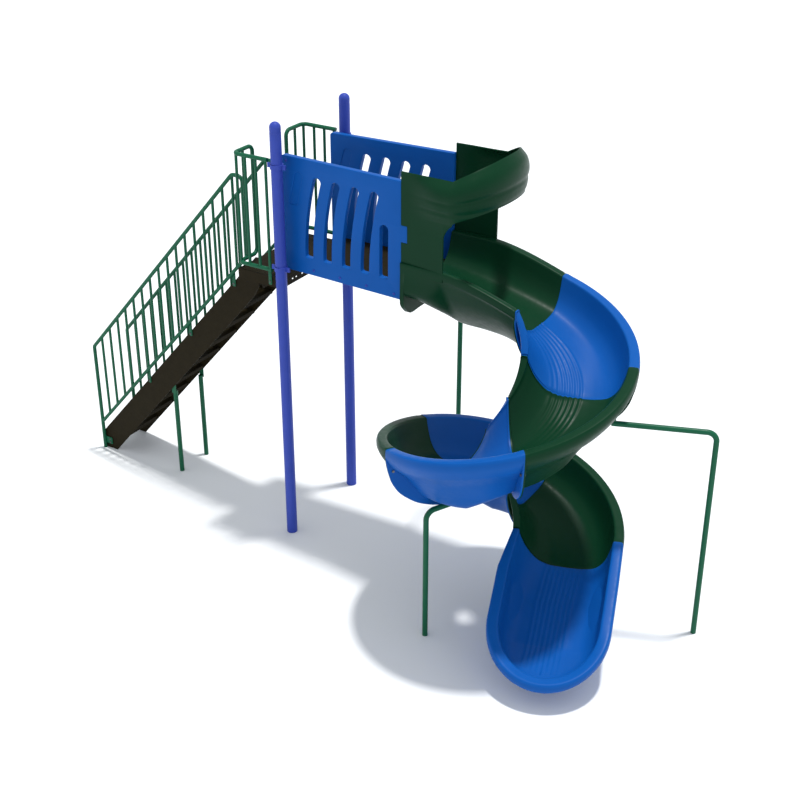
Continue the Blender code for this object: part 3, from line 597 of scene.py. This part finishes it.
def ridge_strength(theta):
    """Full until a third of the second section, then fading out before its end."""
    return max(0.0, min(1.0, (RIDGE_END - theta) / RIDGE_FADE))


def section_control(theta, outer):
    scale = depth_scale(theta)
    bed = [(r, dz * scale) for r, dz in BED]
    return bed + list(OUTER_LIP) + list(outer) + list(INNER_LIP)


def spiral_ring(theta, outer, shift):
    """Cross-section of the spiral at an angle, moved along its run by the shift."""
    e = Vector((math.sin(theta), math.cos(theta), 0.0))
    heading = Vector((math.cos(theta), -math.sin(theta), 0.0))
    centre = Vector((AXIS_X, AXIS_Y, RIM_Z - PITCH * theta))
    loop = dense_loop(section_control(theta, outer), ridge_strength(theta))
    return [centre + e * r + heading * shift + Vector((0.0, 0.0, dz)) for r, dz in loop]


def tent(hull, t):
    """Underside line with its keel drawn down, most at the middle of a section."""
    drop = KEEL_DROP * (1.0 - abs(2.0 * t - 1.0))
    return [(r, dz - drop * KEEL_SHARES.get(i, 0.0)) for i, (r, dz) in enumerate(hull)]


def build_sections():
    """Six curved sections, blue and green in turn, with a flange at each end."""
    for i in range(SECTIONS):
        start = TURN * i
        end = start + TURN
        rings = [spiral_ring(start, FLANGE, GAP / 2), spiral_ring(start, FLANGE, FLANGE_T),
                 spiral_ring(start, HULL, FLANGE_T + FLANGE_STEP)]
        for k in range(1, SECTION_STEPS):
            t = k / SECTION_STEPS
            rings.append(spiral_ring(start + TURN * k / SECTION_STEPS, tent(HULL, t), 0.0))
        rings += [spiral_ring(end, HULL, -FLANGE_T - FLANGE_STEP), spiral_ring(end, FLANGE, -FLANGE_T),
                  spiral_ring(end, FLANGE, -GAP / 2)]
        material = GREEN_PLASTIC if i % 2 else BLUE_PLASTIC
        verts, faces = rings_body(rings)
        name = "slide_section_%d" % (i + 1)
        piece("skin_" + name, verts, faces, material, [name])


def along(table, s):
    """Value at s on straight lines between the table's points."""
    for (s0, v0), (s1, v1) in zip(table, table[1:]):
        if s <= s1:
            return v0 + (v1 - v0) * (s - s0) / (s1 - s0)
    return table[-1][1]


def chute_bed(x):
    """Height of the entry chute's bed."""
    t = (x - CHUTE_X0) / (AXIS_X - CHUTE_X0)
    end = RIM_Z + BED_DEPTH * FIRST_DEPTH
    return DECK_Z + (end - DECK_Z) * (CHUTE_DIP * t + (1 - CHUTE_DIP) * t * t)


def chute_ring(x, rim, keel, outer):
    """Cross-section of the entry chute, whose underside eases from a box to the spiral's shape."""
    scale = (chute_bed(x) - rim) / BED_DEPTH
    depth = keel - rim
    drop = depth / outer[KEEL][1]
    ease = max(0.0, min(1.0, (x - CHUTE_FLANGE_X) / (BOX_X1 - CHUTE_FLANGE_X)))
    loop = [(r, dz * scale) for r, dz in BED] + list(OUTER_LIP)
    for (r, dz), (box_r, share) in zip(outer, BOX):
        loop.append((box_r + (r - box_r) * ease, share * depth * (1 - ease) + dz * drop * ease))
    loop += list(INNER_LIP)
    dense = dense_loop(loop, 0.0)
    return [Vector((x, AXIS_Y + r, rim + dz)) for r, dz in dense]


def hood_plan():
    """Plan line of the hood wall with its foot and top heights."""
    arch = HOOD_FOOT[-4][0]
    bow_x = HOOD_FOOT[-1][0]
    xs = [CHUTE_X0 + (HOOD_FOOT[-5][0] - CHUTE_X0) * i / SIDE_STEPS for i in range(SIDE_STEPS + 1)]
    xs += [arch + (bow_x - arch) * i / ARCH_STEPS for i in range(ARCH_STEPS + 1)]
    near = [(x, PANEL_Y0 - SPLAY * x, along(HOOD_FOOT, x), HOOD_TOP) for x in xs]
    bow_x, y, bow_foot, top = near[-1]
    half_y = MID_Y - y
    bow = []
    for i in range(1, BOW_STEPS):
        a = math.pi * i / BOW_STEPS
        lift = math.sin(a)
        foot = bow_foot + BOW_LIFT * lift ** BOW_POWER
        crest = HOOD_TOP + HOOD_RISE * lift
        bow.append((bow_x + BOW_DEPTH * lift, MID_Y - half_y * math.cos(a), foot, crest))
    far = [(x, BAY - y, foot, top) for x, y, foot, top in reversed(near)]
    return near + bow + far


def flutes(share):
    """Depth of the two shallow flutes that follow the rolled band."""
    return sum(depth * math.exp(-((share - place) / width) ** 2) for place, width, depth in FLUTES)


def hood_wall():
    """Upright sheet round the hood, whose top rolls out to a fluted band on the bow."""
    line = hood_plan()
    profile = smooth_line([(share, roll, 0.0) for share, roll in ROLL], ROLL_PARTS, False)
    profile = [(p.x, p.y - flutes(p.x)) for p in profile]
    profile[0] = (0.0, 0.0)
    count = len(line)
    rings = []
    for i, (x, y, foot, top) in enumerate(line):
        before = Vector(line[max(i - 1, 0)][:2])
        after = Vector(line[min(i + 1, count - 1)][:2])
        heading = (after - before).normalized()
        out = Vector((heading.y, -heading.x))
        bow = max(0.0, min(1.0, (x - ROLL_X0) / ROLL_RUN))
        bow = bow * bow * (3 - 2 * bow)
        start = max(foot + FOLD_FOOT, FOLD_Z)
        heights = [foot + (start - foot) * k / 4 for k in range(4)]
        heights += [start + (top - start) * share for share, roll in profile]
        outer = []
        inner = []
        for z in heights:
            share = max(0.0, (z - FOLD_Z) / (top - FOLD_Z))
            base = Vector((x, y)) + out * along(profile, share) * bow
            outer.append(Vector((base.x, base.y, z)))
            inward = base - out * HOOD_T
            inner.append(Vector((inward.x, inward.y, z)))
        crown = (outer[-1] + inner[-1]) / 2 + Vector((0.0, 0.0, HOOD_T * HOOD_CROWN))
        rings.append(outer + [crown] + inner[::-1])
    return rings_body(rings)


def carved(body, cutters):
    """Body with box-shaped pockets cut out of it."""
    verts, faces = body
    mesh = bpy.data.meshes.new("carved")
    mesh.from_pydata([tuple(v) for v in verts], [], faces)
    obj = bpy.data.objects.new("carved", mesh)
    bpy.context.collection.objects.link(obj)
    tools = []
    for lo, hi in cutters:
        cut_verts, cut_faces = chamfered_box(lo, hi, POCKET_CUT)
        cut_mesh = bpy.data.meshes.new("pocket")
        cut_mesh.from_pydata([tuple(v) for v in cut_verts], [], cut_faces)
        tool = bpy.data.objects.new("pocket", cut_mesh)
        bpy.context.collection.objects.link(tool)
        mod = obj.modifiers.new("pocket", "BOOLEAN")
        mod.operation = "DIFFERENCE"
        mod.solver = "EXACT"
        mod.object = tool
        tools.append(tool)
    graph = bpy.context.evaluated_depsgraph_get()
    out = bpy.data.meshes.new_from_object(obj.evaluated_get(graph))
    for item in [obj] + tools:
        bpy.data.objects.remove(item)
    return [v.co.copy() for v in out.vertices], [tuple(p.vertices) for p in out.polygons]


def build_hood():
    """Entry chute and hood wall, moulded in one."""
    rings = []
    for x, keel in HOOD_STATIONS[:2]:
        rings.append(chute_ring(x, along(CHUTE_RIM, x), keel, HULL))
    keels = smooth_line([(x, keel, 0.0) for x, keel in HOOD_STATIONS[2:]], [4] * 8, False)
    rims = [tuple(p[:2]) for p in smooth_line([(x, z, 0.0) for x, z in CHUTE_RIM], [8] * 5, False)]
    for p in keels[:-1]:
        rings.append(chute_ring(p.x, along(rims, p.x), p.y, HULL))
    rings.append(chute_ring(AXIS_X - FLANGE_T - FLANGE_STEP, RIM_Z, RIM_Z + HULL[KEEL][1], HULL))
    flange_keel = RIM_Z + FLANGE[KEEL][1]
    rings.append(chute_ring(AXIS_X - FLANGE_T, RIM_Z, flange_keel, FLANGE))
    rings.append(chute_ring(AXIS_X - GAP / 2, RIM_Z, flange_keel, FLANGE))
    verts, faces = rings_body(rings)
    gap = POCKET_GAP
    pockets = []
    for y0, y1 in ((-POCKET_PAST, MID_Y - POCKET_REACH), (MID_Y + POCKET_REACH, BAY + POCKET_PAST)):
        pockets.append(((POCKET_START, y0, TAB_Z0 - gap), (TAB_X + gap, y1, TAB_Z1 + gap)))
    add_body(verts, faces, carved(hood_wall(), pockets))
    piece("skin_slide_hood", verts, faces, GREEN_PLASTIC, ["slide_hood"])


def exit_point(s, lateral, dz):
    """Point of the exit at a distance along it, a distance across it and a height from the rim."""
    theta = TURN * SECTIONS
    e = Vector((math.sin(theta), math.cos(theta), 0.0))
    heading = Vector((math.cos(theta), -math.sin(theta), 0.0))
    centre = Vector((AXIS_X, AXIS_Y, RIM_Z - PITCH * theta)) + e * MID_R
    drift = EXIT_SHIFT * min(1.0, s / EXIT_EASE)
    return centre + heading * s + e * (lateral + drift) + Vector((0.0, 0.0, dz))


def exit_half(s, reach):
    """Half of the even cross-section, or of the nose at a reach ahead of s."""
    rim = along(EXIT_RIM, s + reach)
    out = []
    for share, depth in EXIT_TOP:
        bed = along(EXIT_BED, s + reach * share)
        out.append((share, bed + (1.0 - depth) * (rim - bed)))
    out += [(share, rim + lift) for share, lift in EXIT_LIP]
    for share in EXIT_UNDER:
        under = along(EXIT_BED, s + reach * share) - EXIT_SKIN
        flank = rim - EXIT_FLANK_DROP - EXIT_FLANK_SLOPE * (EXIT_FLANK_REACH - share * EXIT_HALF)
        out.append((share, max(under, flank)))
    return out


def exit_control(s, outer):
    """Control loop of (across, height) points that eases from the spiral's shape to the even one."""
    blend = min(1.0, s / EXIT_EASE)
    rim = along(EXIT_RIM, s)
    half = exit_half(s, 0.0)
    top = len(EXIT_TOP)
    lip = top + len(EXIT_LIP)
    left = [(-share, dz) for share, dz in half]
    even = left[1:top][::-1] + half[:lip] + half[lip:] + left[lip:-1][::-1] + left[top:lip][::-1]
    scale = (along(EXIT_BED, s) - rim) / BED_DEPTH
    loop = [(r, rim + dz * scale) for r, dz in BED]
    loop += [(r, rim + dz) for r, dz in OUTER_LIP + outer + INNER_LIP]
    out = []
    for (r, dz), (share, level) in zip(loop, even):
        lateral = (r - MID_R) * (1 - blend) + share * EXIT_HALF * blend
        out.append((lateral, dz * (1 - blend) + level * blend))
    return out


def exit_ridge(lateral, s):
    """Height of the ridges moulded in the exit's bed."""
    strength = min(1.0, s / EXIT_RIDGE_START)
    t = (lateral - EXIT_RIDGE_FIRST) / EXIT_RIDGE_PITCH
    if t < 0.0 or t > EXIT_RIDGES:
        return 0.0
    return strength * EXIT_RIDGE_H * math.sin(math.pi * (t % 1.0)) ** 2


def exit_ring(s, outer):
    """Cross-section of the exit at a distance along it."""
    control = [(a, b, 0.0) for a, b in exit_control(s, outer)]
    dense = smooth_line(control, EXIT_BED_PARTS + RIM_PARTS, True)
    bed_points = sum(EXIT_BED_PARTS[:-1])
    out = []
    for i, p in enumerate(dense):
        lift = exit_ridge(p.x, s) if i <= bed_points else 0.0
        out.append(exit_point(s, p.x, p.y + lift))
    return out


def build_exit():
    """Straight trough that starts at the last flange and ends in a round nose."""
    heading = Vector((math.cos(TURN * SECTIONS), -math.sin(TURN * SECTIONS), 0.0))
    start = exit_ring(0.0, FLANGE)
    rings = [[v + heading * (GAP / 2) for v in start], [v + heading * FLANGE_T for v in start],
             [v + heading * (FLANGE_T + FLANGE_STEP) for v in exit_ring(0.0, HULL)]]
    for i in range(1, EXIT_STEPS + 1):
        rings.append(exit_ring(EXIT_FIRST_STEP + (EXIT_STRAIGHT - EXIT_FIRST_STEP) * i / EXIT_STEPS, HULL))
    count = len(rings[0])
    verts = [v for ring in rings for v in ring]
    faces = grid_faces(count, len(rings))
    faces.append(tuple(range(count)))
    half_bed = EXIT_BED_PARTS[len(EXIT_TOP) - 1:-1]
    half_parts = half_bed + EXIT_BED_PARTS[-1:] + RIM_PARTS[:len(EXIT_LIP) + len(EXIT_UNDER) - 1]
    bed_points = sum(half_bed)
    base = len(verts)
    size = 0
    for i in range(NOSE_STEPS + 1):
        turn = math.pi * i / NOSE_STEPS
        reach = EXIT_NOSE * math.sin(turn)
        control = [(share, dz, 0.0) for share, dz in exit_half(EXIT_STRAIGHT, reach)]
        dense = smooth_line([(c[0] * EXIT_HALF, c[1], 0.0) for c in control], half_parts, False)
        size = len(dense)
        for k, p in enumerate(dense):
            share = p.x / EXIT_HALF
            s = EXIT_STRAIGHT + share * reach
            lateral = p.x * math.cos(turn)
            fade = max(0.0, min(1.0, (EXIT_RIDGE_END - s) / EXIT_RIDGE_FADE))
            lift = exit_ridge(lateral, s) * fade if k <= bed_points else 0.0
            verts.append(exit_point(s, lateral, p.y + lift))
    for i in range(NOSE_STEPS):
        for k in range(size - 1):
            a = base + i * size + k
            faces.append((a, a + 1, a + size + 1, a + size))
    piece("skin_slide_exit", verts, faces, BLUE_PLASTIC, ["slide_exit"])


# ---------------------------------------------------------------- tower

def slot_outline(x, lean, z0, z1):
    """Slot with a round top and small foot corners, whose middle line leans as a parabola."""
    span = SLOT_Z1 - SLOT_Z0
    left = []
    right = []
    r = SLOT_FOOT_R
    for i in range(SLOT_STEPS + 1):
        z = z0 + r + (z1 - SLOT_HALF - z0 - r) * i / SLOT_STEPS
        centre = x + lean * ((z - SLOT_Z0) / span) ** 2
        left.append((centre - SLOT_HALF, z))
        right.append((centre + SLOT_HALF, z))
    top_z = z1 - SLOT_HALF
    centre = x + lean * ((top_z - SLOT_Z0) / span) ** 2
    crown = [(centre + SLOT_HALF * math.cos(a), top_z + SLOT_HALF * math.sin(a))
             for a in [math.pi * (1 - i / CROWN_STEPS) for i in range(1, CROWN_STEPS)]]
    x += lean * ((z0 - SLOT_Z0) / span) ** 2
    foot = []
    for i in range(FOOT_STEPS + 1):
        a = math.pi / 2 * i / FOOT_STEPS
        foot.append((x + SLOT_HALF - r + r * math.cos(a), z0 + r - r * math.sin(a)))
    for i in range(FOOT_STEPS + 1):
        a = math.pi / 2 * i / FOOT_STEPS
        foot.append((x - SLOT_HALF + r - r * math.sin(a), z0 + r - r * math.cos(a)))
    return left + crown + right[::-1] + foot[1:-1]


def flat_curve(name, loops, half, bevel):
    """Flat sheet with rounded edges from closed (x, z) loops; the first is its outline."""
    curve = bpy.data.curves.new(name, "CURVE")
    curve.dimensions = "2D"
    curve.fill_mode = "BOTH"
    curve.extrude = half - bevel
    curve.bevel_depth = bevel
    curve.bevel_resolution = 3
    curve.offset = -bevel
    for loop in loops:
        line = curve.splines.new("POLY")
        line.points.add(len(loop) - 1)
        for point, (x, z) in zip(line.points, loop):
            point.co = (x, z, 0.0, 1.0)
        line.use_cyclic_u = True
    obj = bpy.data.objects.new(name, curve)
    bpy.context.collection.objects.link(obj)
    graph = bpy.context.evaluated_depsgraph_get()
    mesh = bpy.data.meshes.new_from_object(obj.evaluated_get(graph))
    bpy.data.objects.remove(obj)
    return mesh


def corner_round(loop, radii, steps=5):
    """Closed (x, z) loop with the given radius at each corner."""
    out = []
    count = len(loop)
    for i, radius in enumerate(radii):
        corner = Vector(loop[i])
        u = (Vector(loop[i - 1]) - corner).normalized()
        v = (Vector(loop[(i + 1) % count]) - corner).normalized()
        half = u.angle(v) / 2
        reach = radius / math.tan(half)
        centre = corner + (u + v).normalized() * (radius / math.sin(half))
        start = corner + u * reach - centre
        end = corner + v * reach - centre
        sweep = math.pi - 2 * half
        for k in range(steps + 1):
            a = sweep * k / steps
            first = math.sin(sweep - a) / math.sin(sweep)
            last = math.sin(a) / math.sin(sweep)
            p = centre + start * first + end * last
            out.append((p.x, p.y))
    return out


def build_panels():
    """Side panels with their slots, the recessed oval and their bolt heads."""
    corners = [(PANEL_X0, PANEL_Z0), (PANEL_X1, PANEL_Z0), (PANEL_X1, TAB_Z0), (TAB_X, TAB_Z0),
               (TAB_X, TAB_Z1), (PANEL_X1, TAB_Z1), (PANEL_X1, PANEL_Z1), (PANEL_X0, PANEL_Z1)]
    loops = [corner_round(corners, PANEL_RADII)]
    for i in range(SLOT_COUNT):
        loops.append(slot_outline(SLOT_FIRST_X + SLOT_PITCH * i, SLOT_LEAN, SLOT_Z0, SLOT_Z1))
    loops.append(slot_outline(SHORT_SLOT_X, SHORT_SLOT_LEAN, SLOT_Z0, SHORT_SLOT_Z1))
    oval = slot_outline(SLOT_FIRST_X - SLOT_PITCH, SLOT_LEAN, OVAL_Z0, OVAL_Z1)
    loops.append(oval)
    mesh = flat_curve("panel", loops, PANEL_T / 2, PANEL_EDGE)
    verts = []
    for v in mesh.vertices:
        x, z, d = v.co.x, v.co.y, v.co.z
        verts.append(Vector((x, PANEL_Y0 + PANEL_T / 2 - d - SPLAY * x, z)))
    faces = [tuple(p.vertices) for p in mesh.polygons]
    rings = []
    for depth in (OVAL_RECESS, PANEL_T - OVAL_RECESS):
        rings.append([Vector((x, PANEL_Y0 + depth - SPLAY * x, z)) for x, z in oval])
    add_body(verts, faces, rings_body(rings))
    both_sides("panel_skin", verts, faces, BLUE_PLASTIC, ["panel"], 40.0)
    verts = []
    faces = []
    for x, z in PANEL_BOLTS + (PANEL_TOP_BOLT,):
        y = PANEL_Y0 - SPLAY * x - BOLT_GAP
        add_body(verts, faces, button_head((x, y, z), OUTWARD, PANEL_BOLT_R, PANEL_BOLT_H))
    piece("near_panel_bolts", verts, faces, BOLT_BLUE, None)
    piece("far_panel_bolts", mirror_y(verts), faces, BOLT_BLUE, None)


def rail_top_z(x):
    slope = (RAIL_TOP_Z - RAIL_BEND_Z) / (RAIL_TOP_X - RAIL_FOOT_X)
    return min(RAIL_BEND_Z + slope * (x - RAIL_FOOT_X), RAIL_TOP_Z)


def low_rail_z(x):
    return LOW_RAIL_Z0 + LOW_RAIL_SLOPE * (x - RAIL_FOOT_X)


def stair_edge_z(x):
    """Height of the stringer's upper edge where the handrail's lugs sit on it."""
    return STRINGER_Z0 + STRINGER_SLOPE * (x - STRINGER_X0)


def build_handrails():
    """Welded handrail frames with their lugs, foot plates and bolt heads."""
    y = RAIL_Y0
    verts = []
    faces = []
    corners = [(RAIL_FOOT_X, y, 0.0), (RAIL_FOOT_X, y, RAIL_BEND_Z), (RAIL_TOP_X, y, RAIL_TOP_Z),
               (RAIL_END_X, y, RAIL_TOP_Z), (RAIL_END_X, y, low_rail_z(RAIL_END_X) - 0.01)]
    add_body(verts, faces, tube(rounded(corners, RAIL_BEND, 8), RAIL_R))
    low_rail = [(RAIL_FOOT_X, y, LOW_RAIL_Z0), (RAIL_END_X, y, low_rail_z(RAIL_END_X))]
    add_body(verts, faces, tube(low_rail, LOW_RAIL_R))
    for i in range(1, PICKET_COUNT + 1):
        x = RAIL_FOOT_X + PICKET_PITCH * i
        add_body(verts, faces, tube([(x, y, low_rail_z(x)), (x, y, rail_top_z(x) - 0.004)], PICKET_R, 12))
    for x in FEET_X:
        lug_low = (x - LUG_HALF, y + LUG_INSET, stair_edge_z(x) - LUG_DEPTH)
        lug_high = (x + LUG_HALF, STAIR_Y0 - GAP, low_rail_z(x))
        add_body(verts, faces, chamfered_box(lug_low, lug_high, LUG_EDGE))
    plate_low = (RAIL_FOOT_X, y + LUG_INSET, FOOT_PLATE_Z0)
    plate_high = (FOOT_PLATE_X1, STAIR_Y0 - GAP, FOOT_PLATE_Z1)
    add_body(verts, faces, chamfered_box(plate_low, plate_high, LUG_EDGE))
    both_sides("handrail_skin", verts, faces, RAIL_PAINT, ["handrail"])
    verts = []
    faces = []
    places = [(x, stair_edge_z(x) - LUG_BOLT_DROP) for x in FEET_X]
    places += [(FOOT_BOLT_X, z) for z in FOOT_BOLTS_Z]
    for x, z in places:
        centre = (x, y + LUG_INSET - BOLT_GAP, z)
        add_body(verts, faces, button_head(centre, OUTWARD, RAIL_BOLT_R, SMALL_BOLT_H))
    piece("near_handrail_bolts", verts, faces, BOLT_STEEL, None)
    piece("far_handrail_bolts", mirror_y(verts), faces, BOLT_STEEL, None)


def build_guards():
    """Welded guard frames beside the landing, with their lug and bolt head."""
    y1 = GUARD_RETURN
    verts = []
    faces = []
    corners = [(GUARD_END_X, 0, GUARD_TOP), (GUARD_CORNER_X, 0, GUARD_TOP), (GUARD_CORNER_X, y1, GUARD_TOP),
               (GUARD_CORNER_X, y1, GUARD_LOW), (GUARD_CORNER_X, 0, GUARD_LOW), (GUARD_END_X, 0, GUARD_LOW)]
    add_body(verts, faces, tube(rounded(corners, GUARD_BEND, 8), RAIL_R))
    for x in GUARD_PICKETS:
        add_body(verts, faces, tube([(x, 0, GUARD_LOW), (x, 0, GUARD_TOP)], PICKET_R, 12))
    corner = GUARD_CORNER_PICKET
    for x, y in ((GUARD_CORNER_X + corner, corner), (GUARD_CORNER_X, GUARD_RETURN_PICKET)):
        add_body(verts, faces, tube([(x, y, GUARD_LOW), (x, y, GUARD_TOP)], PICKET_R, 12))
    x = GUARD_PICKETS[-1]
    lug_low = (x - LUG_HALF, -GUARD_LUG_T, GUARD_LUG_Z0)
    add_body(verts, faces, chamfered_box(lug_low, (x + LUG_HALF, -GAP, GUARD_LOW), GUARD_LUG_EDGE))
    both_sides("guard_skin", verts, faces, RAIL_PAINT, ["guard"])
    centre = (x, -GUARD_LUG_T - BOLT_GAP, GUARD_BOLT_Z)
    verts, faces = button_head(centre, OUTWARD, GUARD_BOLT_R, SMALL_BOLT_H)
    piece("near_guard_bolt", verts, faces, BOLT_STEEL, None)
    piece("far_guard_bolt", mirror_y(verts), faces, BOLT_STEEL, None)


def build_pole(name, foot, z, end, radius):
    """Upright tube bent over at the top to the point that it holds."""
    path = [(*foot, 0), (*foot, z), (*end, z)]
    verts, faces = tube(rounded(path, POLE_BEND, 12), radius, 24)
    piece("skin_" + name, verts, faces, RAIL_PAINT, [name])


def build_poles():
    axis = Vector((AXIS_X, AXIS_Y))
    pole_b_end = axis + (Vector(POLE_B) - axis).normalized() * POLE_B_REACH
    build_pole("pole_a", POLE_A, POLE_A_Z, POLE_A_END, POLE_A_R)
    build_pole("pole_b", POLE_B, POLE_B_Z, pole_b_end, POLE_R)
    build_pole("pole_c", POLE_C, POLE_C_Z, POLE_C_END, POLE_R)


def paint_nodes():
    """Gives each CAD node that stays its finish."""
    for name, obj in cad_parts.items():
        if "bolt" in name:
            material = BOLT_STEEL
        elif name in ("deck", "landing") or name.startswith("tread"):
            material = BROWN_DECK
        elif "stringer" in name:
            material = BROWN_STEEL
        elif "post" in name or "clamp" in name:
            material = POST_PAINT
        else:
            material = RAIL_PAINT
        for slot in obj.material_slots:
            slot.material = material


# ---------------------------------------------------------------- stage

def build_stage():
    """Pale floor, even sky and a soft sun."""
    mesh = bpy.data.meshes.new("floor")
    half = FLOOR_HALF
    corners = [(-half, -half, 0), (half, -half, 0), (half, half, 0), (-half, half, 0)]
    mesh.from_pydata(corners, [], [(0, 1, 2, 3)])
    mat, _, shader = tree_of("floor")
    shader.inputs["Base Color"].default_value = FLOOR_WHITE
    shader.inputs["Roughness"].default_value = 0.9
    mesh.materials.append(mat)
    floor = bpy.data.objects.new("floor", mesh)
    bpy.context.collection.objects.link(floor)
    floor.location.z = -FLOOR_DROP
    world = bpy.data.worlds.new("studio")
    world.use_nodes = True
    sky = world.node_tree.nodes["Background"]
    sky.inputs["Color"].default_value = SKY_WHITE
    sky.inputs["Strength"].default_value = SKY_STRENGTH
    bpy.context.scene.world = world
    sun = bpy.data.lights.new("sun", "SUN")
    sun.energy = SUN_STRENGTH
    sun.angle = SUN_SPREAD
    sun.color = SUN_WARMTH
    lamp = bpy.data.objects.new("sun", sun)
    bpy.context.collection.objects.link(lamp)
    lamp.rotation_euler = Vector(SUN_DIRECTION).to_track_quat("-Z", "Y").to_euler()


def build_camera():
    cam = bpy.data.cameras.new("camera")
    cam.lens = CAMERA_LENS
    cam.sensor_width = 36.0
    cam.clip_end = 200.0
    obj = bpy.data.objects.new("camera", cam)
    bpy.context.collection.objects.link(obj)
    obj.location = Vector(CAMERA_PLACE) + SHIFT
    obj.rotation_euler = (math.pi / 2 - CAMERA_DOWN, 0.0, CAMERA_TURN)
    bpy.context.scene.camera = obj


paint_nodes()
build_sections()
build_hood()
build_exit()
build_panels()
build_handrails()
build_guards()
build_poles()
build_stage()
build_camera()
bpy.context.scene.view_settings.view_transform = "Standard"
